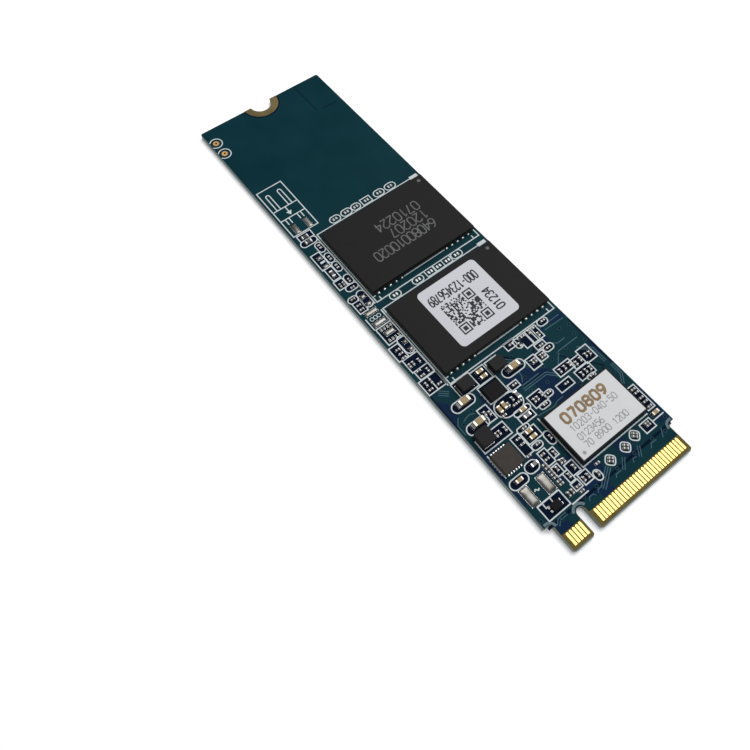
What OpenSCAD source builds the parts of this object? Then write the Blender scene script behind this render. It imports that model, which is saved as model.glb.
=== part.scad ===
// Single-sided M.2 2280 solid state drive card with an M-key edge connector.
// Millimetres. +X runs across the card, +Y from the connector to the mounting notch, +Z out of the
// component side. The origin is under the middle of the card, level with its lowest surface.
// Places on the card are written as [x, y] with y counted from the connector tip.

/* [Card] */
// Width of the card
card_w = 22; // [21.85:0.05:22.15]
// Length of the card from connector tip to mounting edge
card_l = 80; // [79.85:0.05:80.15]
// Thickness over the gold contacts
card_t = 0.8; // [0.72:0.01:0.88]
// Thickness of copper and gold on each face
copper_t = 0.04; // [0.02:0.005:0.05]
// Thickness of the solder mask on each face
mask_t = 0.025; // [0.01:0.005:0.035]
// Bare laminate rim left outside the solder mask
mask_rim = 0.1; // [0.05:0.01:0.2]
// Radius of the two corners at the mounting edge
corner_r = 0.3; // [0.1:0.05:0.8]

/* [Edge connector] */
// Width of the connector tongue
tongue_w = 19.85; // [19.75:0.05:19.95]
// Length of the tongue up to the shoulders
tongue_l = 4.0; // [3.9:0.05:4.1]
// Radius inside the corner of tongue and shoulder
shoulder_r = 0.5; // [0.3:0.05:0.6]
// Centre of the M key notch across the card
key_x = -6.125; // [-6.15:0.005:-6.1]
// Width of the M key notch
key_w = 1.2; // [1.15:0.01:1.25]
// Depth of the M key notch from the tip
key_l = 3.5; // [3.4:0.05:3.6]
// Pitch of the contacts on one face
contact_pitch = 0.5; // [0.5]
// Width of one contact
contact_w = 0.35; // [0.3:0.01:0.4]
// Distance from the tip to the start of the contacts
contact_start = 0.6; // [0.5:0.05:0.8]
// Length of a contact on the component side
contact_l_top = 1.65; // [1.5:0.05:2.0]
// Length of a contact on the underside
contact_l_bottom = 2.25; // [2.0:0.05:2.5]
// Size of the bevel along the tip
tip_bevel = 0.2; // [0.1:0.01:0.25]
// Size of the cut corners of the tongue
tip_corner = 0.3; // [0.1:0.05:0.4]

/* [Mounting notch] */
// Diameter of the half-round mounting notch
notch_d = 3.5; // [3.4:0.05:3.6]
// Outer radius of the plated land on the component side
ring_r_top = 2.9; // [2.75:0.05:3.0]
// Outer radius of the plated land on the underside
ring_r_bottom = 3.15; // [2.75:0.05:3.3]
// Distance of the underside land's centre in from the mounting edge
ring_inset_bottom = 0.85; // [0:0.05:1]
// Thickness of the plating on the notch wall
plating_t = 0.04; // [0.02:0.01:0.06]

/* [Flash packages] */
// Length of a flash package across the card
flash_w = 18; // [17.9:0.1:18.1]
// Width of a flash package along the card
flash_h = 12; // [11.9:0.1:12.1]
// Place of both flash packages across the card
flash_x = 1.4; // [1.2:0.05:1.6]
// Place of the flash package near the controller
flash_1_y = 31.4; // [31.2:0.05:31.5]
// Place of the flash package near the mounting edge
flash_2_y = 46.45; // [46.3:0.05:46.6]
// Height of the soldered balls
flash_ball_t = 0.22; // [0.18:0.01:0.3]
// Thickness of the package substrate
flash_substrate_t = 0.2; // [0.15:0.01:0.3]
// Thickness of the moulding compound
flash_mould_t = 0.6; // [0.5:0.05:0.8]
// Pitch of the ball grid
ball_pitch = 1.0; // [1.0]
// Diameter of one land of the ball grid
land_d = 0.44; // [0.35:0.01:0.5]
// Number of stacked memory dies in a package
die_count = 4; // [1:1:5]
// Thickness of one memory die with the film above it
die_t = 0.08; // [0.05:0.01:0.1]

/* [Controller] */
// Length of the controller package across the card
controller_w = 11.1; // [10.9:0.1:11.3]
// Width of the controller package along the card
controller_h = 7.1; // [6.9:0.1:7.3]
// Place of the controller on the card
controller_at = [3.33, 10.3]; // [2:0.01:11]
// Ledge of moulding compound left around the heat spreader
spreader_ledge = 0.2; // [0.1:0.05:0.4]
// Height of the top of the heat spreader over the gold level
controller_t = 1.1; // [1.0:0.05:1.3]

/* [Product label] */
// Side of the label across the card
label_w = 10; // [9:0.1:11]
// Side of the label along the card
label_h = 9.8; // [9:0.1:11]
// Place of the label's centre
label_at = [1.47, 31.6]; // [1:0.01:32]
// Thickness of the label
label_t = 0.08; // [0.05:0.01:0.15]
// Corner radius of the label
label_r = 0.7; // [0.3:0.05:1]

/* [Hidden] */
$fn = 48;
// Small overlap that keeps cuts clean
eps = 0.01;
// Levels above the lowest surface
laminate_z = copper_t;
top_z = card_t - copper_t;
gold_z = card_t;
flash_z = gold_z + flash_ball_t;
mould_z = flash_z + flash_substrate_t;
flash_top_z = mould_z + flash_mould_t;
// Controller stack, from the balls up
controller_ball_t = 0.18;
controller_ball_d = 0.3;
controller_ball_pitch = [0.6, 0.7];
controller_substrate_t = 0.25;
controller_die_t = 0.3;
controller_die_size = [6.5, 4.2];
spreader_t = 0.25;
spreader_proud = 0.03;
controller_substrate_z = gold_z + controller_ball_t;
controller_die_z = controller_substrate_z + controller_substrate_t;
controller_top_z = gold_z + controller_t;
spreader_z = controller_top_z - spreader_t;
// Footprint of one memory die, the step from each die to the next and the film between two dies
memory_die = [11, 9];
memory_die_step = 0.4;
die_film_t = 0.01;
// Contacts of the M key: how many on each side of the notch, and the outermost centre lines
contacts_top = [29, 5];
contacts_bottom = [29, 4];
contact_x_top = 9.25;
contact_x_bottom = 9.0;
// Level along the card where the mask begins on each face
mask_start_top = contact_start + contact_l_top + 0.1;
mask_start_bottom = contact_start + contact_l_bottom + 0.1;
// Gap between a land and the edge of its mask opening
mask_gap = 0.08;
// Through-hole test points: place, pad sizes and drill
test_hole_at = [[-10.05, 76.9], [-10.05, 74.36]];
test_pad_d_top = 0.95;
test_pad_d_bottom = 1.15;
test_drill_d = 0.35;
// Ball grid of a flash footprint. Columns are counted from the package's middle, and each row is
// [row number from the middle, columns used]; it repeats on the other side of the middle.
grid_columns = 17;
grid_half = (grid_columns - 1) / 2;
full_row = [for (i = [-grid_half : grid_half]) i];
core_row = [for (i = full_row) if (abs(i) <= 5) i];
wing_row = [for (i = full_row) if (abs(i) >= 4) i];
ball_rows = [[5, wing_row], [4, full_row], [3, full_row], [2, core_row], [1, core_row]];
spare_row = [[6, wing_row]];
// Chip sizes as [length, width, height, terminal length]
size_0603 = [1.6, 0.8, 0.8, 0.35];
size_0402 = [1.0, 0.5, 0.5, 0.22];
size_0402_flat = [1.0, 0.5, 0.35, 0.2];
size_0201 = [0.6, 0.3, 0.26, 0.16];
// What the 0603 capacitors' lands add to the chip's own size
land_0603_extra = [0.3, 0, 0, 0.2];
// Land length over terminal length, and land width over chip width
land_scale = [1.6, 0.95];
// How much wider a terminal is than the body that it wraps
terminal_wrap = 0.02;
// Chips as [x, y, angle]
capacitors_0603 = [[-8.02, 21.34, 0], [0.16, 21.17, 0], [-8.37, 18.2, 0]];
capacitors_0402 = [
    [-3.77, 23.25, 0], [-3.77, 22.43, 0], [-4.42, 17.95, 90], [-5.2, 17.85, 90],
    [-2.95, 16.15, 0], [-4.35, 13.62, 0], [-4.35, 12.85, 0],
    [-9.4, 9.9, 0], [9.7, 5.98, 0]
];
resistors_0402 = [
    [-3.0, 15.25, 0], [-6.55, 10.28, 0], [-2.1, 18.05, 90],
    [-9.32, 53.97, 0], [-9.37, 52.97, 0], [-9.89, 46.55, 90]
];
// 0201 chips, grouped by where they sit
chips_beside_flash = [
    [-10.13, 44.4, 90], [-9.6, 44.4, 90], [-8.65, 44.4, 90], [-8.97, 43.15, 0], [-10.05, 41.6, 0],
    [-10.02, 40.37, 0], [-10.02, 39.63, 0], [-10.02, 32.0, 0], [-10.02, 31.3, 0], [-10.02, 30.62, 0],
    [-10.2, 29.3, 90], [-9.65, 29.3, 90], [-8.8, 29.2, 90], [-9.75, 28.05, 0],
    [-9.75, 27.25, 0], [-8.75, 27.5, 90], [-10.2, 26.0, 90], [-9.45, 26.0, 90],
    [-10.15, 25.1, 0], [-8.75, 25.1, 0]
];
chips_power = [
    [-6.98, 18.6, 90], [-6.45, 18.3, 90], [-3.85, 17.75, 90], [-2.95, 18.0, 90], [-3.2, 17.2, 0],
    [-2.42, 17.2, 0], [-5.2, 16.95, 0], [-1.42, 19.25, 0],
    [-7.7, 15.7, 90], [-7.2, 15.7, 90], [-6.35, 15.65, 90]
];
chips_right = [
    [-0.9, 16.15, 90], [-0.4, 16.15, 90], [0.35, 16.3, 90], [1.25, 15.85, 0], [-0.2, 15.0, 0],
    [3.92, 15.4, 0], [2.6, 20.2, 90], [3.05, 20.2, 90], [4.02, 20.08, 90], [4.45, 20.08, 90],
    [5.15, 21.25, 0], [5.65, 20.45, 0], [2.1, 23.7, 0], [3.0, 23.0, 90], [4.1, 23.65, 0],
    [5.2, 23.65, 90], [6.28, 23.7, 0], [6.0, 22.65, 90], [7.85, 23.75, 0],
    [4.5, 17.12, 90], [5.3, 17.12, 90], [6.1, 17.1, 90], [6.9, 16.65, 90], [7.7, 16.75, 90],
    [8.7, 16.75, 90], [9.3, 16.65, 90], [6.4, 15.15, 90], [7.1, 15.15, 90], [7.8, 15.1, 90],
    [7.25, 14.25, 0]
];
chips_left_of_controller = [
    [-6.0, 13.7, 0], [-6.0, 12.92, 0], [-6.4, 11.38, 0], [-4.4, 14.3, 0], [-4.5, 11.82, 0],
    [-2.7, 11.57, 90], [-5.0, 10.5, 0], [-4.95, 9.78, 0], [-3.75, 9.8, 90], [-4.87, 8.22, 90],
    [-3.9, 8.6, 90], [-3.48, 8.5, 90], [-4.3, 6.78, 90], [-3.1, 7.2, 90],
    [-5.7, 9.5, 0], [-5.7, 9.0, 0], [-5.7, 8.5, 0], [-5.7, 8.05, 0], [-5.7, 7.6, 0], [-5.7, 7.05, 0],
    [-5.7, 6.6, 0], [-5.9, 5.2, 90], [-5.35, 5.2, 90], [-4.38, 5.25, 0], [-4.4, 4.55, 0],
    [-3.2, 5.42, 90], [-2.55, 5.42, 90], [-1.42, 4.9, 90], [-0.55, 5.8, 0]
];
chips_lanes = [
    [0.88, 4.95, 135], [1.15, 5.25, 135], [3.5, 4.97, 135], [3.77, 5.27, 135],
    [5.47, 5.32, 135], [5.73, 5.6, 135], [7.9, 5.7, 0], [7.9, 5.33, 0],
    [9.9, 9.72, 0], [9.93, 9.18, 0], [9.9, 8.35, 0], [9.92, 7.7, 0], [9.88, 6.95, 0]
];
chips_0201 = concat(chips_beside_flash, chips_power, chips_right, chips_left_of_controller,
                    chips_lanes);
// Unused chip sites as [x, y, angle]
spare_sites_top = concat(
    [for (x = [-4.0, -1.95, -0.3, 1.65, 3.95, 6.0]) [x, 54.1, 0]],
    [for (x = [-5.0, -1.05, 1.1, 2.6, 4.2, 5.85]) [x, 38.8, 0]],
    [[-8.55, 51.5, 90], [-8.55, 49.1, 90], [-8.55, 47.35, 90]]
);
spare_sites_bottom = concat(
    [for (x = [6.15, 1.7, -0.25, -3.8]) [x, 54.15, 0]],
    [for (x = [6.0, 2.75, 1.2, -0.9, -4.85]) [x, 38.95, 0]],
    [for (y = [51.7, 49.35, 47.6]) [-8.35, y, 90]],
    [[6.35, 23.7, 0], [4.2, 23.7, 0], [3.1, 23.4, 90], [2.15, 23.7, 0]]
);
spare_pitch = 0.48;
spare_land = [0.26, 0.42];
// Large tinned pads as [x, y, size x, size y]
tinned_pads = concat(
    [[-9.72, 7.78, 1.35, 2.5], [-7.05, 7.78, 1.35, 2.5]],
    [[-9.52, 55.95, 0.85, 1.9], [-7.45, 55.95, 0.85, 1.9]],
    [[-9.27, 38.6, 2.05, 0.8], [-9.27, 36.7, 2.05, 0.8], [-9.15, 34.78, 1.6, 0.8]],
    [[-9.78, 49.85, 0.75, 0.62], [-9.78, 48.2, 0.8, 0.6]],
    [[-8.7, 41.2, 0.8, 0.65], [-8.7, 39.85, 0.8, 0.65]],
    [[-8.48, 32.4, 0.72, 0.62], [-8.48, 31.15, 0.72, 0.62]],
    [for (i = [-1.5 : 1.5], y = [35.62, 33.75]) [-9.15 + i * 0.5, y, 0.28, 0.45]]
);
pad_tin_t = 0.06;
// Leadless packages as [x, y, size x, size y, height]
power_manager = [-8.85, 12.65, 2.9, 2.85, 0.85];
regulator = [-4.2, 20.15, 2.4, 1.95, 0.75];
supervisor = [-8.0, 5.2, 1.3, 1.0, 0.55];
// Their leads as [count along x, count along y, pitch, lead width, how far a lead reaches]
power_manager_leads = [6, 6, 0.4, 0.18, 0.3];
regulator_leads = [0, 3, 0.6, 0.3, 0.3];
supervisor_leads = [0, 2, 0.5, 0.28, 0.4];
lead_t = 0.1;
// What a land adds to its lead across and along
lead_land_extra = [0.02, 0.15];
// Pads under the middle of the two larger packages
power_manager_pad = 1.6;
regulator_pad = [1.2, 0.9];
// Power inductors as [x, y] with one shared size, and the moulded inductor
power_inductors = [[-6.45, 22.95], [-1.46, 22.58]];
power_inductor = [2.0, 1.6, 1.2];
power_inductor_r = 0.2;
power_inductor_foot = [0.5, 1.4];
moulded_inductor_at = [-9.2, 16.3];
moulded_inductor = [2.0, 2.2, 1.2];
moulded_inductor_r = 0.4;
moulded_inductor_foot = [1.5, 0.5];
foot_t = 0.08;
foot_land_extra = 0.1;
// How far the plated lands around the notch may run in from the mounting edge
notch_land_depth = 10;

// Moves children from card places to the part's own frame
module on_card(z = 0) {
    translate([0, -card_l / 2, z]) children();
}

// Places a child at each [x, y, angle] site
module at_sites(sites) {
    for (s = sites) translate([s[0], s[1]]) rotate(s[2]) children();
}

// Flat rectangle about its centre
module pad(w, h) {
    square([w, h], center = true);
}

// Rectangle with round corners, drawn as bars and discs so that its arcs stay true
module rounded(w, h, r) {
    pad(w - 2 * r, h);
    pad(w, h - 2 * r);
    for (sx = [-1, 1], sy = [-1, 1]) translate([sx * (w / 2 - r), sy * (h / 2 - r)]) circle(r);
}

// Outline of the card, drawn in by a margin on every edge
module card_outline(m = 0) {
    difference() {
        union() {
            translate([0, (card_l + tongue_l) / 2])
                rounded(card_w - 2 * m, card_l - tongue_l - 2 * m, corner_r);
            for (s = [-1, 1]) translate([s * (card_w / 2 - m - corner_r), tongue_l + m + corner_r])
                pad(2 * corner_r, 2 * corner_r);
            translate([0, tongue_l / 2 + corner_r]) pad(tongue_w - 2 * m, tongue_l + 2 * corner_r - 2 * m);
            for (s = [-1, 1]) translate([s * (tongue_w / 2 - m), tongue_l + m]) shoulder_fillet(s);
        }
        translate([key_x, 0]) key_cut(key_w + 2 * m);
        translate([0, card_l]) circle(notch_d / 2 + m);
        for (x = [-tongue_w / 2 + m, key_x - key_w / 2 - m, key_x + key_w / 2 + m, tongue_w / 2 - m])
            translate([x, m]) rotate(45) pad(tip_corner * sqrt(2), tip_corner * sqrt(2));
    }
}

// Web that fills the corner between tongue and shoulder with a concave arc
module shoulder_fillet(side) {
    difference() {
        translate([side * shoulder_r / 2, -shoulder_r / 2]) pad(shoulder_r + eps, shoulder_r + eps);
        translate([side * shoulder_r, -shoulder_r]) circle(shoulder_r);
    }
}

// Key notch with a full-radius end
module key_cut(w) {
    translate([0, (key_l - w / 2) / 2 - 1]) pad(w, key_l - w / 2 + 2);
    translate([0, key_l - w / 2]) circle(w / 2);
}

// Bevel along the tip: one wedge for each face
module tip_wedges() {
    for (face = [0, 1]) translate([0, 0, card_t / 2]) mirror([0, 0, face])
        rotate([90, 0, 90]) linear_extrude(card_w, center = true)
            polygon([[-eps, top_z - card_t / 2 - tip_bevel], [tip_bevel + eps, top_z - card_t / 2 + eps],
                     [-eps, top_z - card_t / 2 + eps]]);
}

// Centre lines of one face's contacts: the wide group, then the group beyond the notch
function contact_sites(counts, outermost) = concat(
    [for (i = [0 : counts[0] - 1]) outermost - i * contact_pitch],
    [for (i = [0 : counts[1] - 1]) i * contact_pitch - outermost]
);

// One contact with a rounded inner end
module contact(l) {
    translate([0, contact_start + l / 2 - contact_w / 4]) pad(contact_w, l - contact_w / 2);
    translate([0, contact_start + l - contact_w / 2]) circle(contact_w / 2);
}

// All places of a ball grid, as seen on the component side
module ball_sites(y0, rows) {
    for (row = rows, side = [-1, 1], i = row[1])
        translate([flash_x + i * ball_pitch, y0 + side * row[0] * ball_pitch]) children();
}

// Lands of both flash footprints: the package's own rows and the unused row at each long side
module flash_land_circles(d) {
    for (y = [flash_1_y, flash_2_y]) ball_sites(y, concat(ball_rows, spare_row)) circle(d = d);
}

// Lands for a chip of the given size
module chip_lands(size, grow = 0) {
    reach = size[0] / 2 - size[3] / 2;
    for (s = [-1, 1]) translate([s * reach, 0])
        pad(size[3] * land_scale[0] + 2 * grow, size[1] * land_scale[1] + 2 * grow);
}

// Lands of an unused chip site
module spare_lands(grow = 0) {
    for (s = [-1, 1]) translate([s * spare_pitch / 2, 0])
        pad(spare_land[0] + 2 * grow, spare_land[1] + 2 * grow);
}

// Rectangles across the edges of a leadless package: its leads, or the lands below them
module lead_shapes(part, leads, widen = 0, lengthen = 0) {
    w = leads[3] + widen;
    reach = leads[4] + lengthen;
    translate([part[0], part[1]]) {
        for (s = [-1, 1], i = [0 : 1 : leads[0] - 1])
            translate([(i - (leads[0] - 1) / 2) * leads[2], s * part[3] / 2]) pad(w, reach);
        for (s = [-1, 1], i = [0 : 1 : leads[1] - 1])
            translate([s * part[2] / 2, (i - (leads[1] - 1) / 2) * leads[2]]) pad(reach, w);
    }
}

// Lands of a leadless package
module lead_lands(part, leads, grow = 0) {
    lead_shapes(part, leads, lead_land_extra[0] + 2 * grow, lead_land_extra[1] + 2 * grow);
}

// Feet of the power inductors, or the lands below them
module power_inductor_feet(grow = 0) {
    for (p = power_inductors, s = [-1, 1])
        translate([p[0] + s * (power_inductor[0] - power_inductor_foot[0]) / 2, p[1]])
            pad(power_inductor_foot[0] + 2 * grow, power_inductor_foot[1] + 2 * grow);
}

// Feet of the moulded inductor, or the lands below them
module moulded_inductor_feet(grow = 0) {
    translate(moulded_inductor_at) for (s = [-1, 1])
        translate([0, s * (moulded_inductor[1] - moulded_inductor_foot[1]) / 2])
            pad(moulded_inductor_foot[0] + 2 * grow, moulded_inductor_foot[1] + 2 * grow);
}

// Every chip and package land on the component side
module component_land_shapes(grow = 0) {
    at_sites(capacitors_0603) chip_lands(size_0603 + land_0603_extra, grow);
    at_sites(capacitors_0402) chip_lands(size_0402, grow);
    at_sites(resistors_0402) chip_lands(size_0402_flat, grow);
    at_sites(chips_0201) chip_lands(size_0201, grow);
    lead_lands(power_manager, power_manager_leads, grow);
    lead_lands(regulator, regulator_leads, grow);
    lead_lands(supervisor, supervisor_leads, grow);
    power_inductor_feet(foot_land_extra / 2 + grow);
    moulded_inductor_feet(foot_land_extra / 2 + grow);
}

// Two-terminal chip body between its terminals
module chip_body(size) {
    translate([0, 0, gold_z + size[2] / 2])
        cube([size[0] - 2 * size[3], size[1], size[2] - terminal_wrap], center = true);
}

// Wrap-around terminals of a chip
module chip_terminals(size) {
    for (s = [-1, 1]) translate([s * (size[0] - size[3]) / 2, 0, gold_z + size[2] / 2])
        cube([size[3], size[1] + terminal_wrap, size[2]], center = true);
}

module printed_board_core() {
    color("olivedrab") difference() {
        on_card(laminate_z) linear_extrude(top_z - laminate_z) difference() {
            card_outline();
            translate([0, card_l]) circle(notch_d / 2 + plating_t);
            for (p = test_hole_at) translate(p) circle(d = test_drill_d + 2 * plating_t);
        }
        on_card() tip_wedges();
    }
}

module solder_mask_top() {
    color([0.07, 0.2, 0.23]) on_card(top_z) linear_extrude(mask_t) difference() {
        card_outline(mask_rim);
        translate([0, mask_start_top / 2 - 1]) pad(card_w, mask_start_top + 2);
        translate([0, card_l]) circle(ring_r_top + mask_gap);
        for (p = test_hole_at) translate(p) circle(d = test_pad_d_top + 2 * mask_gap);
        flash_land_circles(land_d + 2 * mask_gap);
        component_land_shapes(mask_gap);
        at_sites(spare_sites_top) spare_lands(mask_gap);
        for (p = tinned_pads) translate([p[0], p[1]]) pad(p[2], p[3]);
    }
}

module solder_mask_bottom() {
    color([0.07, 0.2, 0.23]) on_card(laminate_z - mask_t) linear_extrude(mask_t) difference() {
        card_outline(mask_rim);
        translate([0, mask_start_bottom / 2 - 1]) pad(card_w, mask_start_bottom + 2);
        translate([0, card_l - ring_inset_bottom]) circle(ring_r_bottom + mask_gap);
        for (p = test_hole_at) translate(p) circle(d = test_pad_d_bottom + 2 * mask_gap);
        flash_land_circles(land_d + 2 * mask_gap);
        at_sites(spare_sites_bottom) spare_lands(mask_gap);
    }
}

module edge_contacts_top() {
    color("gold") on_card(top_z) linear_extrude(copper_t)
        for (x = contact_sites(contacts_top, contact_x_top)) translate([x, 0]) contact(contact_l_top);
}

module edge_contacts_bottom() {
    color("gold") on_card() linear_extrude(copper_t)
        for (x = contact_sites(contacts_bottom, contact_x_bottom)) translate([x, 0])
            contact(contact_l_bottom);
}

// Land on one face around the mounting notch
module notch_land(r, inset) {
    intersection() {
        difference() {
            translate([0, card_l - inset]) circle(r);
            translate([0, card_l]) circle(notch_d / 2);
        }
        translate([0, card_l - notch_land_depth / 2]) pad(card_w, notch_land_depth);
    }
}

module mounting_notch_plating() {
    color("darkgoldenrod") on_card() {
        linear_extrude(copper_t) notch_land(ring_r_bottom, ring_inset_bottom);
        translate([0, 0, copper_t]) linear_extrude(top_z - laminate_z)
            notch_land(notch_d / 2 + plating_t, 0);
        translate([0, 0, top_z]) linear_extrude(copper_t) notch_land(ring_r_top, 0);
    }
}

module plated_test_holes() {
    color("peru") on_card() for (p = test_hole_at) translate(p) difference() {
        union() {
            cylinder(d = test_pad_d_bottom, h = copper_t);
            cylinder(d = test_drill_d + 2 * plating_t, h = card_t);
            translate([0, 0, top_z]) cylinder(d = test_pad_d_top, h = copper_t);
        }
        translate([0, 0, -1]) cylinder(d = test_drill_d, h = card_t + 2);
    }
}

module flash_lands_top() {
    color("gold") on_card(top_z) linear_extrude(copper_t) flash_land_circles(land_d);
}

module flash_lands_bottom() {
    color("gold") on_card() linear_extrude(copper_t) flash_land_circles(land_d);
}

module component_lands_top() {
    color("silver") on_card(top_z) linear_extrude(copper_t) component_land_shapes();
}

module spare_lands_top() {
    color("silver") on_card(top_z) linear_extrude(copper_t) at_sites(spare_sites_top) spare_lands();
}

module spare_lands_bottom() {
    color("gold") on_card() linear_extrude(copper_t) at_sites(spare_sites_bottom) spare_lands();
}

module tinned_pads_top() {
    color("silver") on_card(top_z) for (p = tinned_pads) translate([p[0], p[1]])
        linear_extrude(pad_tin_t) pad(p[2], p[3]);
}

// Balls between a flash package and its lands
module flash_balls(y0) {
    color("silver") on_card(gold_z) linear_extrude(flash_ball_t)
        ball_sites(y0, ball_rows) circle(d = land_d);
}

module flash_substrate(y0) {
    color("darkgreen") on_card(flash_z) translate([flash_x, y0]) linear_extrude(flash_substrate_t)
        pad(flash_w, flash_h);
}

// Stack of dies of thickness t, each stepped sideways so that its bond pads stay free
module flash_die_shapes(y0, t) {
    for (i = [0 : die_count - 1])
        translate([flash_x + (i - die_count / 2) * memory_die_step, y0, mould_z + i * die_t])
            linear_extrude(t) pad(memory_die[0], memory_die[1]);
}

module flash_dies(y0) {
    color("dimgray") on_card() flash_die_shapes(y0, die_t - die_film_t);
}

module flash_mould(y0) {
    color([0.15, 0.15, 0.16]) on_card() difference() {
        translate([flash_x, y0, mould_z]) linear_extrude(flash_mould_t) pad(flash_w, flash_h);
        flash_die_shapes(y0, die_t);
    }
}

module flash_1_mould() { flash_mould(flash_1_y); }
module flash_1_substrate() { flash_substrate(flash_1_y); }
module flash_1_dies() { flash_dies(flash_1_y); }
module flash_1_balls() { flash_balls(flash_1_y); }
module flash_2_mould() { flash_mould(flash_2_y); }
module flash_2_substrate() { flash_substrate(flash_2_y); }
module flash_2_dies() { flash_dies(flash_2_y); }
module flash_2_balls() { flash_balls(flash_2_y); }

module product_label() {
    color("lavender") on_card(flash_top_z) translate(label_at) linear_extrude(label_t)
        rounded(label_w, label_h, label_r);
}

module controller_balls() {
    color("silver") on_card(gold_z) translate(controller_at) linear_extrude(controller_ball_t)
        for (i = [-8 : 8], j = [-4 : 4]) if (abs(i) > 4 || abs(j) > 2)
            translate([i * controller_ball_pitch[0], j * controller_ball_pitch[1]])
                circle(d = controller_ball_d);
}

module controller_substrate() {
    color("darkgreen") on_card(controller_substrate_z) translate(controller_at)
        linear_extrude(controller_substrate_t) pad(controller_w, controller_h);
}

module controller_die() {
    color("slategray") on_card(controller_die_z) translate(controller_at)
        linear_extrude(controller_die_t) pad(controller_die_size[0], controller_die_size[1]);
}

module controller_mould() {
    mould_t = controller_top_z - spreader_proud - controller_die_z;
    color([0.08, 0.08, 0.09]) on_card(controller_die_z) translate(controller_at) difference() {
        linear_extrude(mould_t) pad(controller_w, controller_h);
        translate([0, 0, -eps]) linear_extrude(controller_die_t + eps)
            pad(controller_die_size[0], controller_die_size[1]);
        translate([0, 0, spreader_z - controller_die_z]) linear_extrude(spreader_t) spreader_shape();
    }
}

module spreader_shape() {
    pad(controller_w - 2 * spreader_ledge, controller_h - 2 * spreader_ledge);
}

module controller_heat_spreader() {
    color("gainsboro") on_card(spreader_z) translate(controller_at)
        linear_extrude(spreader_t) spreader_shape();
}

// Body of a leadless package, raised on its terminals
module leadless_body(part) {
    on_card(gold_z + lead_t) translate([part[0], part[1]])
        linear_extrude(part[4] - lead_t) pad(part[2], part[3]);
}

module power_manager_body() {
    color([0.24, 0.23, 0.22]) leadless_body(power_manager);
}

module power_manager_terminals() {
    color("silver") on_card(gold_z) linear_extrude(lead_t) {
        lead_shapes(power_manager, power_manager_leads);
        translate([power_manager[0], power_manager[1]]) pad(power_manager_pad, power_manager_pad);
    }
}

module regulator_body() {
    color([0.12, 0.12, 0.13]) leadless_body(regulator);
}

module regulator_terminals() {
    color("silver") on_card(gold_z) linear_extrude(lead_t) {
        lead_shapes(regulator, regulator_leads);
        translate([regulator[0], regulator[1]]) pad(regulator_pad[0], regulator_pad[1]);
    }
}

module supervisor_body() {
    color([0.2, 0.19, 0.19]) leadless_body(supervisor);
}

module supervisor_terminals() {
    color("silver") on_card(gold_z) linear_extrude(lead_t) lead_shapes(supervisor, supervisor_leads);
}

module power_inductor_bodies() {
    color([0.13, 0.13, 0.14]) on_card(gold_z + foot_t) for (p = power_inductors) translate(p)
        linear_extrude(power_inductor[2] - foot_t)
            rounded(power_inductor[0], power_inductor[1], power_inductor_r);
}

module power_inductor_terminals() {
    color("silver") on_card(gold_z) linear_extrude(foot_t) power_inductor_feet();
}

module moulded_inductor_body() {
    color([0.13, 0.13, 0.14]) on_card(gold_z + foot_t) translate(moulded_inductor_at)
        linear_extrude(moulded_inductor[2] - foot_t)
            rounded(moulded_inductor[0], moulded_inductor[1], moulded_inductor_r);
}

module moulded_inductor_terminals() {
    color("silver") on_card(gold_z) linear_extrude(foot_t) moulded_inductor_feet();
}

module capacitor_0603_bodies() {
    color("tan") on_card() at_sites(capacitors_0603) chip_body(size_0603);
}

module capacitor_0603_terminals() {
    color("silver") on_card() at_sites(capacitors_0603) chip_terminals(size_0603);
}

module capacitor_0402_bodies() {
    color("tan") on_card() at_sites(capacitors_0402) chip_body(size_0402);
}

module capacitor_0402_terminals() {
    color("silver") on_card() at_sites(capacitors_0402) chip_terminals(size_0402);
}

module resistor_0402_bodies() {
    color("gray") on_card() at_sites(resistors_0402) chip_body(size_0402_flat);
}

module resistor_0402_terminals() {
    color("silver") on_card() at_sites(resistors_0402) chip_terminals(size_0402_flat);
}

module chip_0201_bodies() {
    color([0.1, 0.1, 0.12]) on_card() at_sites(chips_0201) chip_body(size_0201);
}

module chip_0201_terminals() {
    color("silver") on_card() at_sites(chips_0201) chip_terminals(size_0201);
}

printed_board_core();
solder_mask_top();
solder_mask_bottom();
edge_contacts_top();
edge_contacts_bottom();
mounting_notch_plating();
plated_test_holes();
flash_lands_top();
flash_lands_bottom();
component_lands_top();
spare_lands_top();
spare_lands_bottom();
tinned_pads_top();
flash_1_mould();
flash_1_substrate();
flash_1_dies();
flash_1_balls();
flash_2_mould();
flash_2_substrate();
flash_2_dies();
flash_2_balls();
product_label();
controller_mould();
controller_heat_spreader();
controller_substrate();
controller_die();
controller_balls();
power_manager_body();
power_manager_terminals();
regulator_body();
regulator_terminals();
supervisor_body();
supervisor_terminals();
power_inductor_bodies();
power_inductor_terminals();
moulded_inductor_body();
moulded_inductor_terminals();
capacitor_0603_bodies();
capacitor_0603_terminals();
capacitor_0402_bodies();
capacitor_0402_terminals();
resistor_0402_bodies();
resistor_0402_terminals();
chip_0201_bodies();
chip_0201_terminals();
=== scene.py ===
# Looks for the solid state drive card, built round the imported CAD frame.
# Millimetres on the card: x across, y from the connector tip, z up from the lowest surface.
import math
import random

import bpy
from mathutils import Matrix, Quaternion, Vector


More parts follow.
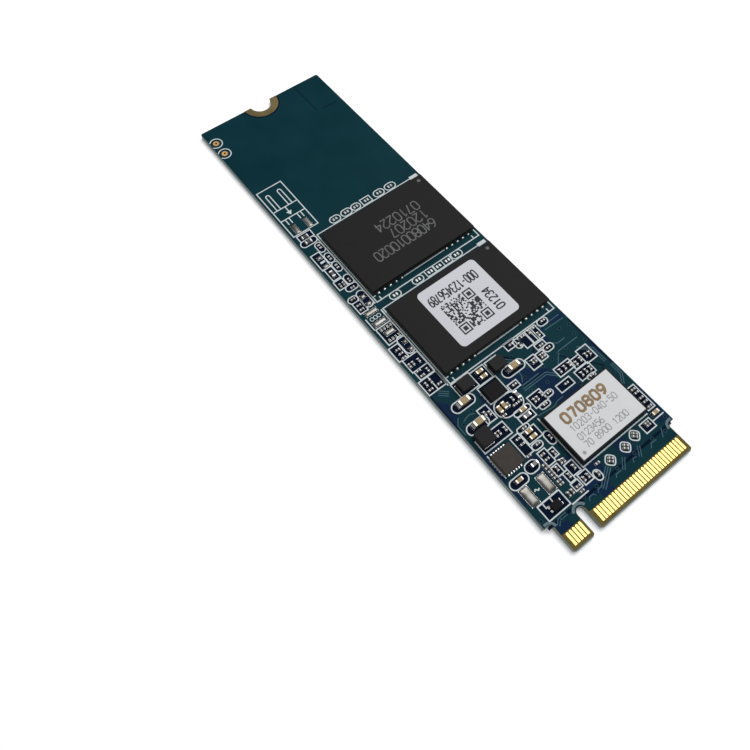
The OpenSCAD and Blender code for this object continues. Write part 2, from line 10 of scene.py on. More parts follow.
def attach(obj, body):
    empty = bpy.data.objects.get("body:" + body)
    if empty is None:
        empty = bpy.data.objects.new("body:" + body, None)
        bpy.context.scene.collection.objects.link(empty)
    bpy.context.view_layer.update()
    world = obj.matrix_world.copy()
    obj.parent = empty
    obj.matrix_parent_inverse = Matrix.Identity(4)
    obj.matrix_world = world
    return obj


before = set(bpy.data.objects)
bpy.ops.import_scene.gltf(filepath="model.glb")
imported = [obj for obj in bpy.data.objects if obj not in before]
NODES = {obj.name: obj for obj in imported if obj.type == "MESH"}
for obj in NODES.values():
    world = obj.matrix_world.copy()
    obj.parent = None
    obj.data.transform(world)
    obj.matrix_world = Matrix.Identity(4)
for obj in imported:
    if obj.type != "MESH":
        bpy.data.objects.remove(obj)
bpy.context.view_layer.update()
MM = 0.001
CARD_L = 80.0
MASK_TOP = 0.785
GOLD_TOP = 0.8
MASK_BOTTOM = 0.015
FLASH_TOP = 1.82
LABEL_TOP = 1.9
CONTROLLER_TOP = 1.9


# ---------------------------------------------------------------- materials

def new_material(name):
    m = bpy.data.materials.new(name)
    m.use_nodes = True
    nodes, links = m.node_tree.nodes, m.node_tree.links
    return m, nodes, links, nodes["Principled BSDF"]


def noise(nodes, links, scale, detail=3.0, rough=0.55, stretch=None):
    coords = nodes.new("ShaderNodeTexCoord")
    tex = nodes.new("ShaderNodeTexNoise")
    tex.inputs["Scale"].default_value = scale
    tex.inputs["Detail"].default_value = detail
    tex.inputs["Roughness"].default_value = rough
    if stretch:
        mapping = nodes.new("ShaderNodeMapping")
        mapping.inputs["Scale"].default_value = stretch
        links.new(coords.outputs["Object"], mapping.inputs["Vector"])
        links.new(mapping.outputs["Vector"], tex.inputs["Vector"])
    else:
        links.new(coords.outputs["Object"], tex.inputs["Vector"])
    return tex


def ramp(nodes, links, fac, stops):
    r = nodes.new("ShaderNodeValToRGB")
    el = r.color_ramp.elements
    while len(el) > 1:
        el.remove(el[-1])
    el[0].position, el[0].color = stops[0][0], (*stops[0][1], 1)
    for pos, col in stops[1:]:
        e = el.new(pos)
        e.color = (*col, 1)
    links.new(fac, r.inputs["Fac"])
    return r


def span(nodes, links, fac, lo, hi, out_lo, out_hi):
    r = nodes.new("ShaderNodeMapRange")
    r.inputs["From Min"].default_value = lo
    r.inputs["From Max"].default_value = hi
    r.inputs["To Min"].default_value = out_lo
    r.inputs["To Max"].default_value = out_hi
    links.new(fac, r.inputs["Value"])
    return r


def bump(nodes, links, bsdf, height, strength, distance):
    b = nodes.new("ShaderNodeBump")
    b.inputs["Strength"].default_value = strength
    b.inputs["Distance"].default_value = distance * MM
    links.new(height, b.inputs["Height"])
    links.new(b.outputs["Normal"], bsdf.inputs["Normal"])
    return b


def grained(name, dark, light, rough, metallic=0.0, scale=900.0, rough_span=0.08, grain=4000.0,
            grain_depth=0.004, specular=0.5, stretch=None, coat=0.0):
    """A surface with colour drift, gloss drift and a fine grain."""
    m, nodes, links, bsdf = new_material(name)
    bsdf.inputs["Metallic"].default_value = metallic
    bsdf.inputs["Specular IOR Level"].default_value = specular
    if coat:
        bsdf.inputs["Coat Weight"].default_value = coat
        bsdf.inputs["Coat Roughness"].default_value = 0.15
    drift = noise(nodes, links, scale, stretch=stretch)
    col = ramp(nodes, links, drift.outputs["Fac"], [(0.3, dark), (0.7, light)])
    links.new(col.outputs["Color"], bsdf.inputs["Base Color"])
    gloss = span(nodes, links, drift.outputs["Fac"], 0.3, 0.7, rough - rough_span, rough + rough_span)
    links.new(gloss.outputs["Result"], bsdf.inputs["Roughness"])
    fine = noise(nodes, links, grain, detail=2.0)
    bump(nodes, links, bsdf, fine.outputs["Fac"], 0.6, grain_depth)
    return m


def mask_material():
    """Teal where copper lies under the mask, navy in the bare areas of the connector half."""
    m = grained("solder_mask_teal", (0.0022, 0.024, 0.033), (0.0036, 0.030, 0.040), 0.42,
                scale=160, rough_span=0.03, grain=1400, grain_depth=0.002, specular=0.02)
    nodes, links = m.node_tree.nodes, m.node_tree.links
    bsdf = nodes["Principled BSDF"]
    teal = bsdf.inputs["Base Color"].links[0].from_socket
    patches = ramp(nodes, links, noise(nodes, links, 210, detail=1.5, rough=0.4, stretch=(1, 0.8,
        0.3)).outputs["Fac"],
                   [(0.53, (0, 0, 0)), (0.545, (1, 1, 1))])
    coords = nodes.new("ShaderNodeTexCoord")
    xyz = nodes.new("ShaderNodeSeparateXYZ")
    links.new(coords.outputs["Object"], xyz.inputs["Vector"])
    low = span(nodes, links, xyz.outputs["Y"], -17 * MM, -16 * MM, 0.9, 0)
    amount = nodes.new("ShaderNodeMath")
    amount.operation = "MULTIPLY"
    links.new(patches.outputs["Color"], amount.inputs[0])
    links.new(low.outputs["Result"], amount.inputs[1])
    mix = nodes.new("ShaderNodeMix")
    mix.data_type = "RGBA"
    links.new(amount.outputs["Value"], mix.inputs["Factor"])
    links.new(teal, mix.inputs["A"])
    mix.inputs["B"].default_value = (0.0032, 0.0145, 0.046, 1)
    links.new(mix.outputs["Result"], bsdf.inputs["Base Color"])
    return m


MAT = {"mask": mask_material()}
MAT["trace"] = grained("solder_mask_over_trace", (0.030, 0.080, 0.108), (0.046, 0.108, 0.138), 0.4,
                       scale=300, rough_span=0.04, grain=1400, grain_depth=0.002, specular=0.07)
MAT["via"] = grained("solder_mask_over_via", (0.010, 0.042, 0.056), (0.018, 0.058, 0.076), 0.4,
                     scale=300, rough_span=0.04, grain=1400, grain_depth=0.002, specular=0.04)
# dark navy of mask straight on the laminate; also laid inside the small part outlines as partly painted
# shade
MAT["gap"] = grained("solder_mask_over_gap_and_shade", (0.0012, 0.0045, 0.014), (0.0020, 0.0070, 0.022), 0.45,
                     scale=300, rough_span=0.04, grain=1400, grain_depth=0.002, specular=0.012)
MAT["silk"] = grained("silkscreen_ink", (0.47, 0.51, 0.51), (0.60, 0.64, 0.64), 0.62,
                      scale=2500, grain=6000, grain_depth=0.004, specular=0.2)
MAT["gold"] = grained("contact_gold", (0.80, 0.55, 0.17), (0.92, 0.68, 0.26), 0.42, metallic=1.0,
                      scale=500, grain=5000, grain_depth=0.0006, stretch=(1.0, 0.25, 1.0))
MAT["land_gold"] = grained("land_gold", (0.70, 0.60, 0.36), (0.88, 0.76, 0.50), 0.38, metallic=1.0,
                           scale=700, grain=5000, grain_depth=0.002)
MAT["ring"] = grained("notch_plating", (0.115, 0.083, 0.034), (0.185, 0.145, 0.060), 0.5, metallic=0.8,
                      scale=400, grain=4000, grain_depth=0.003)
MAT["copper"] = grained("test_pad_copper", (0.52, 0.29, 0.10), (0.70, 0.42, 0.17), 0.45, metallic=0.9,
                        scale=700, grain=4000, grain_depth=0.002)
MAT["tin"] = grained("reflowed_tin", (0.40, 0.40, 0.40), (0.60, 0.60, 0.59), 0.34, metallic=1.0,
                     scale=600, rough_span=0.06, grain=3500, grain_depth=0.0006)
MAT["chip_end"] = grained("chip_end_tin", (0.32, 0.29, 0.25), (0.50, 0.46, 0.41), 0.4, metallic=1.0,
                          scale=800, rough_span=0.06, grain=3500, grain_depth=0.0006)
MAT["dull_tin"] = grained("dull_tin", (0.20, 0.20, 0.20), (0.36, 0.36, 0.36), 0.42, metallic=1.0,
                          scale=900, rough_span=0.06, grain=3500, grain_depth=0.0006)
MAT["mould"] = grained("moulding_compound", (0.0080, 0.0074, 0.0080), (0.0112, 0.0106, 0.0112), 0.6,
                       scale=2600, rough_span=0.03, grain=5200, grain_depth=0.012, specular=0.1)
MAT["power_mould"] = grained("power_manager_mould", (0.034, 0.028, 0.025), (0.048, 0.041, 0.036), 0.5,
                             scale=1200, grain=9000, grain_depth=0.003, specular=0.07)
MAT["small_mould"] = grained("small_mould", (0.0055, 0.0055, 0.0065), (0.010, 0.010, 0.011), 0.5,
                             scale=1200, grain=9000, grain_depth=0.003, specular=0.04)
MAT["substrate"] = grained("package_substrate", (0.012, 0.020, 0.014), (0.022, 0.034, 0.024), 0.5,
                           scale=900, grain=5000, stretch=(1, 1, 12))
MAT["silicon"] = grained("ground_silicon", (0.10, 0.10, 0.12), (0.14, 0.14, 0.17), 0.3)
MAT["label"] = grained("label_film", (0.47, 0.475, 0.505), (0.52, 0.525, 0.555), 0.45,
                       scale=180, grain=5000, grain_depth=0.002, specular=0.25)
MAT["ink"] = grained("label_ink", (0.010, 0.010, 0.012), (0.018, 0.018, 0.020), 0.55, grain=6000,
    specular=0.2)
MAT["laser"] = grained("laser_marking", (0.085, 0.085, 0.085), (0.13, 0.13, 0.13), 0.7, grain=8000,
    specular=0.2)
MAT["spreader"] = grained("heat_spreader", (0.53, 0.535, 0.54), (0.58, 0.585, 0.59), 0.5,
                          scale=700, grain=9000, grain_depth=0.003, specular=0.3)
MAT["spreader_ink"] = grained("spreader_marking", (0.20, 0.20, 0.20), (0.28, 0.28, 0.27), 0.6, grain=8000)
MAT["spreader_bold"] = grained("spreader_bold_marking", (0.15, 0.095, 0.04), (0.25, 0.165, 0.08), 0.55,
                               scale=420, grain=8000, specular=0.3)
MAT["bright_solder"] = grained("bright_solder", (0.26, 0.25, 0.23), (0.78, 0.78, 0.77), 0.28, metallic=1.0,
                               scale=420, rough_span=0.05, grain=2500, grain_depth=0.0006)
MAT["cushion"] = grained("solder_cushion", (0.085, 0.082, 0.073), (0.24, 0.235, 0.22), 0.32, metallic=1.0,
                         scale=420, rough_span=0.05, grain=2500, grain_depth=0.0006)
MAT["rim"] = grained("thin_mask_on_edge", (0.045, 0.085, 0.10), (0.08, 0.13, 0.15), 0.4, scale=500,
    specular=0.3)
MAT["ferrite"] = grained("pressed_ferrite", (0.0075, 0.0072, 0.008), (0.016, 0.0155, 0.017), 0.5,
                         scale=3000, grain=7000, grain_depth=0.006, specular=0.07)
MAT["ceramic"] = grained("capacitor_ceramic", (0.25, 0.175, 0.08), (0.35, 0.255, 0.125), 0.42,
                         scale=1500, grain=6000, grain_depth=0.003, specular=0.2)
MAT["glaze"] = grained("resistor_glaze", (0.030, 0.030, 0.034), (0.055, 0.055, 0.06), 0.25,
                       scale=1500, grain=6000, grain_depth=0.002)
MAT["chip"] = grained("chip_ceramic", (0.020, 0.017, 0.015), (0.055, 0.043, 0.034), 0.38,
                      scale=900, grain=6000, grain_depth=0.003)


def laminate_material():
    """Cut glass-epoxy: woven plies in the walls, olive resin on the bare faces."""
    m, nodes, links, bsdf = new_material("glass_epoxy_laminate")
    coords = nodes.new("ShaderNodeTexCoord")
    xyz = nodes.new("ShaderNodeSeparateXYZ")
    links.new(coords.outputs["Object"], xyz.inputs["Vector"])
    plies = nodes.new("ShaderNodeTexWave")
    plies.wave_type, plies.bands_direction = "BANDS", "Z"
    plies.inputs["Scale"].default_value = 1700
    plies.inputs["Distortion"].default_value = 1.5
    plies.inputs["Detail"].default_value = 3
    plies.inputs["Detail Scale"].default_value = 2.0
    links.new(coords.outputs["Object"], plies.inputs["Vector"])
    wall = ramp(nodes, links, plies.outputs["Fac"], [(0.1, (0.10, 0.13, 0.13)), (0.9, (0.26, 0.30, 0.29))])
    tongue = ramp(nodes, links, noise(nodes, links, 900).outputs["Fac"],
                  [(0.3, (0.080, 0.060, 0.009)), (0.7, (0.115, 0.088, 0.016))])
    inland = span(nodes, links, xyz.outputs["Y"], -36.6 * MM, -36.2 * MM, 0, 1)
    face = nodes.new("ShaderNodeMix")
    face.data_type = "RGBA"
    links.new(inland.outputs["Result"], face.inputs["Factor"])
    links.new(tongue.outputs["Color"], face.inputs["A"])
    face.inputs["B"].default_value = (0.035, 0.065, 0.070, 1)
    middle = nodes.new("ShaderNodeMath")
    middle.operation = "SUBTRACT"
    middle.inputs[1].default_value = 0.4 * MM
    links.new(xyz.outputs["Z"], middle.inputs[0])
    away = nodes.new("ShaderNodeMath")
    away.operation = "ABSOLUTE"
    links.new(middle.outputs["Value"], away.inputs[0])
    level = span(nodes, links, away.outputs["Value"], 0.355 * MM, 0.3595 * MM, 0, 1)
    mix = nodes.new("ShaderNodeMix")
    mix.data_type = "RGBA"
    links.new(level.outputs["Result"], mix.inputs["Factor"])
    links.new(wall.outputs["Color"], mix.inputs["A"])
    links.new(face.outputs["Result"], mix.inputs["B"])
    links.new(mix.outputs["Result"], bsdf.inputs["Base Color"])
    bsdf.inputs["Roughness"].default_value = 0.6
    bsdf.inputs["Specular IOR Level"].default_value = 0.2
    bump(nodes, links, bsdf, plies.outputs["Fac"], 0.5, 0.01)
    return m


MAT["laminate"] = laminate_material()

# CAD node: material, bevel in millimetres
CAD_LOOKS = {
    "printed_board_core": ("laminate", 0), "solder_mask_top": ("mask", 0),
    "solder_mask_bottom": ("mask", 0),
    "edge_contacts_top": ("gold", 0.012), "edge_contacts_bottom": ("gold", 0.012),
    "mounting_notch_plating": ("ring", 0), "plated_test_holes": ("copper", 0),
    "flash_lands_top": ("land_gold", 0), "flash_lands_bottom": ("land_gold", 0),
    "component_lands_top": ("tin", 0.01), "spare_lands_top": ("dull_tin", 0.012),
    "spare_lands_bottom": ("land_gold", 0.012), "tinned_pads_top": ("tin", 0.025),
    "flash_1_mould": ("mould", 0.05), "flash_1_substrate": ("substrate", 0.01),
    "flash_1_dies": ("silicon", 0),
    "flash_1_balls": ("tin", 0), "flash_2_mould": ("mould", 0.05), "flash_2_substrate": ("substrate", 0.01),
    "flash_2_dies": ("silicon", 0), "flash_2_balls": ("tin", 0), "product_label": ("label", 0.02),
    "controller_mould": ("mould", 0.03), "controller_heat_spreader": ("spreader", 0.04),
    "controller_substrate": ("substrate", 0.01), "controller_die": ("silicon", 0),
    "controller_balls": ("tin", 0),
    "power_manager_body": ("power_mould", 0.03), "power_manager_terminals": ("tin", 0.01),
    "regulator_body": ("small_mould", 0.03), "regulator_terminals": ("tin", 0.01),
    "supervisor_body": ("small_mould", 0.02), "supervisor_terminals": ("tin", 0.01),
    "power_inductor_bodies": ("ferrite", 0.14), "power_inductor_terminals": ("tin", 0.01),
    "moulded_inductor_body": ("ferrite", 0.2), "moulded_inductor_terminals": ("tin", 0.01),
    "capacitor_0603_bodies": ("ceramic", 0.05), "capacitor_0603_terminals": ("chip_end", 0.08),
    "capacitor_0402_bodies": ("ceramic", 0.03), "capacitor_0402_terminals": ("chip_end", 0.05),
    "resistor_0402_bodies": ("glaze", 0.02), "resistor_0402_terminals": ("tin", 0.04),
    "chip_0201_bodies": ("chip", 0.02), "chip_0201_terminals": ("dull_tin", 0.035),
}
for node, (look, width) in CAD_LOOKS.items():
    o = NODES[node]
    o.data.materials.clear()
    o.data.materials.append(MAT[look])
    if width:
        if "custom_normal" in o.data.attributes:
            o.data.attributes.remove(o.data.attributes["custom_normal"])
        o.data.shade_smooth()
        weld = o.modifiers.new("weld", "WELD")
        weld.merge_threshold = 1e-7
        bevel = o.modifiers.new("bevel", "BEVEL")
        bevel.width = width * MM
        bevel.segments = 3
        bevel.limit_method = "ANGLE"
        bevel.angle_limit = math.radians(40)
        bevel.harden_normals = True


# ---------------------------------------------------------------- drawing on the card

class Relief:
    """Thin raised shapes on one face, gathered into one mesh. The underside is drawn as seen from below."""

    def __init__(self, level, underside=False):
        self.level, self.side = level, -1 if underside else 1
        self.verts, self.faces, self.count, self.boxes = [], [], 0, []

    def add(self, x, y, h):
        self.verts.append((x * self.side * MM, (y - CARD_L / 2) * MM, (self.level + self.side * h) * MM))
        return len(self.verts) - 1

    def lift(self, height):
        """Overlapping shapes get slightly different tops, so that none of them coincide."""
        self.count += 1
        return height * (1 + 0.012 * (self.count % 7))

    def line(self, pts, width, height, closed=False):
        """A track along a route. An open route is cut in two wherever it doubles back sharply."""
        if closed and pts[0] == pts[-1]:
            pts = pts[:-1]
        for i in range(1, len(pts) - 1):
            a, b = Vector(pts[i]) - Vector(pts[i - 1]), Vector(pts[i + 1]) - Vector(pts[i])
            if not closed and a.length and b.length and a.dot(b) < -0.05 * a.length * b.length:
                self.line(pts[:i + 1], width, height)
                self.line(pts[i:], width, height)
                return
        n = len(pts)
        height = self.lift(height)
        draft = min(0.25 * width, height)
        rows = []
        for i, (x, y) in enumerate(pts):
            before = pts[i - 1] if i or closed else None
            after = pts[(i + 1) % n] if i < n - 1 or closed else None
            d = []
            for a, b in ((before, (x, y)), ((x, y), after)):
                if a is not None and b is not None:
                    length = math.hypot(b[0] - a[0], b[1] - a[1]) or 1e-9
                    d.append(((b[0] - a[0]) / length, (b[1] - a[1]) / length))
            tx, ty = sum(v[0] for v in d), sum(v[1] for v in d)
            length = math.hypot(tx, ty) or 1e-9
            tx, ty = tx / length, ty / length
            stretch = 1 / max(0.55, tx * d[0][0] + ty * d[0][1])
            nx, ny = -ty * stretch, tx * stretch
            w, t = width / 2, width / 2 - draft
            rows.append((self.add(x + nx * w, y + ny * w, 0), self.add(x + nx * t, y + ny * t, height),
                         self.add(x - nx * t, y - ny * t, height), self.add(x - nx * w, y - ny * w, 0)))
        for i in range(n if closed else n - 1):
            a, b = rows[i], rows[(i + 1) % n]
            for k in range(4):
                self.faces.append((a[k], a[(k + 1) % 4], b[(k + 1) % 4], b[k]))
        if not closed:
            self.faces.append(rows[0][::-1])
            self.faces.append(rows[-1])

    def plate(self, pts, height, draft=0.0):
        """A filled outline, given anticlockwise. draft pulls its top in towards the middle."""
        height = self.lift(height)
        cx, cy = sum(p[0] for p in pts) / len(pts), sum(p[1] for p in pts) / len(pts)
        low = [self.add(x, y, 0) for x, y in pts]
        high = []
        for x, y in pts:
            r = math.hypot(x - cx, y - cy) or 1e-9
            k = max(0.2, 1 - draft / r)
            high.append(self.add(cx + (x - cx) * k, cy + (y - cy) * k, height))
        n = len(pts)
        for i in range(n):
            j = (i + 1) % n
            self.faces.append((low[i], low[j], high[j], high[i]))
        self.faces.append(tuple(high))
        self.faces.append(tuple(low[::-1]))

    def rect(self, x0, y0, x1, y1, width, height):
        self.boxes.append((x0, y0, x1, y1))
        self.line([(x0, y0), (x1, y0), (x1, y1), (x0, y1)], width, height, closed=True)

    def capsule(self, x0, y0, x1, y1, width, height, steps=5):
        self.boxes.append((x0, y0, x1, y1))
        r = min(x1 - x0, y1 - y0) / 2
        pts = []
        for cx, cy, a0 in ((x1 - r, y0 + r, -90), (x1 - r, y1 - r, 0), (x0 + r, y1 - r, 90),
            (x0 + r, y0 + r, 180)):
            for k in range(steps + 1):
                a = math.radians(a0 + 90 * k / steps)
                p = (cx + r * math.cos(a), cy + r * math.sin(a))
                if not pts or math.hypot(p[0] - pts[-1][0], p[1] - pts[-1][1]) > 0.01:
                    pts.append(p)
        if math.hypot(pts[0][0] - pts[-1][0], pts[0][1] - pts[-1][1]) < 0.01:
            pts.pop()
        self.line(pts, width, height, closed=True)

    def ring(self, x, y, r, width, height, start=0, sweep=360, steps=24):
        pts = [(x + r * math.cos(math.radians(start + sweep * k / steps)),
                y + r * math.sin(math.radians(start + sweep * k / steps)))
               for k in range(steps + (sweep < 360))]
        self.line(pts, width, height, closed=sweep >= 360)

    def disc(self, x, y, r, height, steps=16, draft=0.0):
        self.plate([(x + r * math.cos(2 * math.pi * k / steps), y + r * math.sin(2 * math.pi * k / steps))
                    for k in range(steps)], height, draft)

    def digits(self, text, x, y, size, angle, stroke, height, width=0.62, advance=0.86):
        """Plain numbers; x, y is the lower left corner of the first, and angle turns the line about it."""
        c, s = math.cos(math.radians(angle)), math.sin(math.radians(angle))
        for i, ch in enumerate(text):
            for path in DIGITS.get(ch, ()):
                pts = []
                for u, v in path:
                    px, py = (i * advance + u * width) * size, v * size
                    pts.append((x + px * c - py * s, y + px * s + py * c))
                self.line(pts, stroke, height, closed=path[0] == path[-1])

    def make(self, name, material, slot, smooth=False):
        mesh = bpy.data.meshes.new(name)
        mesh.from_pydata(self.verts, [], self.faces)
        mesh.validate()
        if smooth:
            mesh.shade_smooth()
        mesh.materials.append(MAT[material])
        o = bpy.data.objects.new(name, mesh)
        bpy.context.scene.collection.objects.link(o)
        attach(o, "root")
        return o


DIGITS = {
    "0": [[(0, .2), (0, .8), (.25, 1), (.75, 1), (1, .8), (1, .2), (.75, 0), (.25, 0), (0, .2)]],
    "1": [[(.15, .78), (.55, 1), (.55, 0)]],
    "2": [[(0, .8), (.25, 1), (.75, 1), (1, .8), (1, .62), (0, 0), (1, 0)]],
    "3": [[(0, .85), (.25, 1), (.75, 1), (1, .84), (1, .66), (.75, .53), (.4, .53)],
          [(.75, .53), (1, .38), (1, .16), (.75, 0), (.25, 0), (0, .15)]],
    "4": [[(.78, 0), (.78, 1), (0, .32), (1, .32)]],
    "5": [[(.95, 1), (.1, 1), (.05, .55), (.35, .63), (.7, .63), (1, .45), (1, .18), (.72, 0), (.25, 0),
    (0, .12)]],
    "6": [[(.85, 1), (.4, .85), (.1, .58), (.02, .4)],
          [(0, .3), (.05, .14), (.28, 0), (.74, 0), (1, .17), (1, .4), (.75, .56), (.3, .56), (.04, .44),
          (0, .3)]],
    "7": [[(0, 1), (1, 1), (.36, 0)]],
    "8": [[(.25, .53), (.04, .68), (.04, .85), (.25, 1), (.75, 1), (.96, .85), (.96, .68), (.75, .53),
    (.25, .53)],
          [(.25, .53), (0, .36), (0, .17), (.25, 0), (.75, 0), (1, .17), (1, .36), (.75, .53)]],
    "9": [[(.15, 0), (.6, .15), (.9, .42), (.98, .6)],
          [(1, .7), (.95, .86), (.72, 1), (.26, 1), (0, .83), (0, .6), (.25, .44), (.7, .44), (.96, .56),
          (1, .7)]],
    "-": [[(.1, .48), (.85, .48)]],
}

SILK_H = 0.018
SILK_W = 0.17


# Lower edges of the outlines in the two rows of unused sites
FAR_SPARE_ROW, NEAR_SPARE_ROW = 53.5, 38.25
# Outlines below this area, in square millimetres, get a dark patch inside: partly bare laminate, partly
# painted shade round the part
LARGEST_OUTLINE = 11


def silk_top():
    s = Relief(MASK_TOP)
    # outlines round the unused sites above each memory package
    for x0, x1 in ((-4.85, -3.15), (-2.85, -1.1), (-1.05, 0.45), (3.05, 4.8), (5.1, 6.9)):
        s.capsule(x0, FAR_SPARE_ROW, x1, 54.65, SILK_W, SILK_H)
    s.rect(0.8, FAR_SPARE_ROW, 2.4, 54.65, SILK_W, SILK_H)
    for x0, x1 in ((-5.9, -4.15), (-1.95, -0.2), (4.95, 6.75)):
        s.capsule(x0, NEAR_SPARE_ROW, x1, 39.35, SILK_W, SILK_H)
    for x0, x1 in ((0.35, 1.8), (1.9, 3.4), (3.4, 4.8)):
        s.rect(x0, NEAR_SPARE_ROW, x1, 39.35, SILK_W, SILK_H)
    # outlines of the memory packages
    for y0, top, bottom in ((46.45, 53.35, 39.35), (31.4, 38.1, 24.25)):
        s.line([(9.2, top), (-7.7, top), (-7.7, bottom), (10.5, bottom), (10.5, bottom + 1.25)], SILK_W,
            SILK_H)
        s.line([(-8.02, top), (-8.02, bottom)], SILK_W, SILK_H)
        s.plate([(9.2, top - 0.3), (10.6, top - 0.3), (10.6, top + 0.32), (9.2, top + 0.32)], SILK_H)
        s.line([(-2.2, bottom + 1.05), (5.0, bottom + 1.05)], SILK_W, SILK_H)
        s.line([(-6.9, bottom), (-6.9, bottom + 0.55)], SILK_W, SILK_H)
        s.line([(9.6, bottom), (9.6, bottom + 0.6)], SILK_W, SILK_H)
        s.line([(-7.6, bottom + 0.95), (-7.2, bottom + 0.95)], SILK_W, SILK_H)
    # connector symbol near the mounting end
    s.rect(-10.55, 55.0, -6.35, 64.7, SILK_W, SILK_H)
    for cx in (-9.5, -7.5):
        s.line([(cx - 0.3, 60.3), (cx - 0.3, 63.3), (cx - 0.2, 63.52), (cx, 63.6), (cx + 0.2, 63.52),
            (cx + 0.3, 63.3),
                (cx + 0.3, 60.3)], SILK_W, SILK_H)
        for dx in (-0.3, 0.3):
            s.line([(cx + dx, 58.3), (cx + dx, 57.2)], SILK_W, SILK_H)
    s.line([(-10.55, 60.3), (-6.35, 60.3)], SILK_W, SILK_H)
    s.line([(-10.55, 58.3), (-6.35, 58.3)], SILK_W, SILK_H)
    s.line([(-8.5, 60.3), (-8.5, 59.2)], SILK_W, SILK_H)
    s.plate([(-8.5, 58.6), (-8.05, 59.3), (-8.95, 59.3)], SILK_H)
    # rings round the test holes, cut off near the edge
    for y in (76.9, 74.36):
        s.ring(-10.05, y, 0.96, SILK_W, SILK_H, start=-148, sweep=296)
    # left column
    for b in ((-10.25, 53.6, -8.0, 54.75), (-10.6, 47.85, -9.2, 50.8), (-10.4, 45.6, -9.2, 47.9),
              (-10.6, 43.85, -9.2, 45.4), (-10.6, 39.2, -9.3, 41.1), (-10.45, 33.25, -8.0, 36.05),
              (-10.9, 30.5, -9.4, 32.8), (-10.5, 28.3, -8.1, 30.4), (-10.3, 26.9, -8.1, 28.3),
              (-10.8, 24.6, -8.0, 26.8)):
        s.rect(*b, SILK_W, SILK_H)
    for b in ((-10.6, 52.5, -8.0, 53.6), (-9.1, 50.4, -8.05, 52.25), (-9.1, 48.2, -8.05, 50.0),
              (-9.1, 46.4, -8.05, 48.2), (-9.1, 43.8, -8.0, 45.5), (-9.9, 42.85, -8.0, 43.85),
              (-10.8, 41.1, -9.3, 42.1), (-9.3, 30.6, -8.0, 33.5), (-9.35, 39.35, -8.0, 42.3)):
        s.capsule(*b, SILK_W, SILK_H)
    s.line([(-9.35, 24.6), (-9.35, 26.8)], SILK_W, SILK_H)
    s.plate([(-10.12, 48.88), (-9.4, 48.88), (-9.4, 49.22), (-10.12, 49.22)], SILK_H)
    for x in (-10.58, -7.98):
        s.line([(x, 38.15), (x, 36.1)], SILK_W, SILK_H)
    for x in (-9.85, -9.3, -8.75):
        s.ring(x, 37.65, 0.27, 0.1, SILK_H, steps=16)
    # power supply
    for b in ((-7.8, 21.9, -4.9, 24.1), (-4.9, 21.75, -2.7, 23.85), (-5.5, 19.05, -2.45, 21.65),
              (-7.5, 17.3, -6.05, 19.5), (-10.3, 14.75, -5.9, 16.6), (-2.2, 18.75, -0.75, 19.7),
              (-4.15, 14.65, -1.95, 15.7), (-5.3, 12.35, -3.1, 14.0), (-6.75, 11.5, -5.45, 14.3),
              (-5.4, 9.0, -4.2, 11.0), (-4.2, 9.35, -3.3, 10.5), (-5.4, 7.4, -4.35, 8.7),
              (-4.75, 6.0, -3.9, 7.4), (-3.9, 6.4, -2.6, 8.0), (-3.5, 4.75, -2.1, 6.2),
              (-4.9, 4.9, -3.8, 5.9), (-9.85, 4.3, -6.45, 6.3), (-9.1, 5.6, -7.95, 6.3)):
        s.rect(*b, SILK_W, SILK_H)
    for b in ((-9.85, 20.55, -6.4, 21.95), (-1.65, 20.3, 1.85, 21.75), (-10.25, 17.2, -7.0, 18.7),
              (-5.8, 16.4, -1.7, 19.0), (-4.25, 15.75, -1.7, 16.5), (-5.4, 14.0, -3.6, 14.7),
              (-5.4, 11.3, -3.85, 12.15), (-3.25, 10.6, -2.2, 12.45), (-10.75, 9.15, -8.1, 10.45),
              (-7.95, 9.5, -6.0, 10.9), (-1.95, 4.05, -1.0, 5.4)):
        s.capsule(*b, SILK_W, SILK_H)
    for path in ([(-2.4, 22.0), (-2.4, 23.8), (-0.4, 23.8)], [(-10.35, 11.0), (-10.35, 14.4)],
                 [(-2.2, 14.2), (-2.2, 6.45), (9.0, 6.45)], [(-9.9, 6.35), (-6.5, 6.35)],
                 [(-6.4, 4.1), (-3.7, 4.1)], [(8.7, 5.35), (10.7, 5.35)],
                 [(-8.8, 7.8), (-8.6, 8.0), (-8.3, 7.65), (-8.1, 7.85)]):
        s.line(path, SILK_W, SILK_H)
    # right of the power supply
    for b in ((1.25, 23.2, 2.9, 24.3), (3.5, 22.0, 4.7, 24.0), (4.8, 22.0, 5.8, 24.0),
        (5.5, 22.0, 6.6, 24.0),
              (4.4, 20.95, 5.95, 21.8), (2.0, 19.2, 3.5, 20.95), (3.6, 19.5, 4.85, 20.75),
              (4.0, 16.45, 6.6, 17.8),
              (6.4, 16.0, 8.1, 17.4), (8.1, 15.75, 9.9, 17.9), (5.8, 14.4, 8.3, 15.9),
              (2.6, 14.8, 4.9, 15.95),
              (-1.4, 15.25, 0.7, 17.0), (7.0, 4.7, 8.7, 6.0), (9.4, 6.6, 10.55, 10.2)):
        s.rect(*b, SILK_W, SILK_H)
    for b in ((2.5, 22.55, 3.5, 24.0), (7.0, 23.2, 8.6, 24.2), (5.0, 20.0, 6.55, 20.95),
        (6.6, 13.9, 7.9, 14.5),
              (0.6, 15.4, 1.9, 16.2), (-1.0, 14.6, 0.6, 15.3)):
        s.capsule(*b, SILK_W, SILK_H)
    for x, y in ((1.0, 5.1), (3.63, 5.12), (5.6, 5.46)):
        pts = []
        for k in range(24):
            a = 2 * math.pi * k / 24
            u, v = 0.62 * math.copysign(abs(math.cos(a)) ** 0.6, math.cos(a)), 0.62 * math.copysign(
                abs(math.sin(a)) ** 0.6, math.sin(a))
            pts.append((x + (u - v) * 0.7071, y + (u + v) * 0.7071))
        s.line(pts, SILK_W, SILK_H, closed=True)
    s.make("silk_print_top", "silk", "solder_mask")
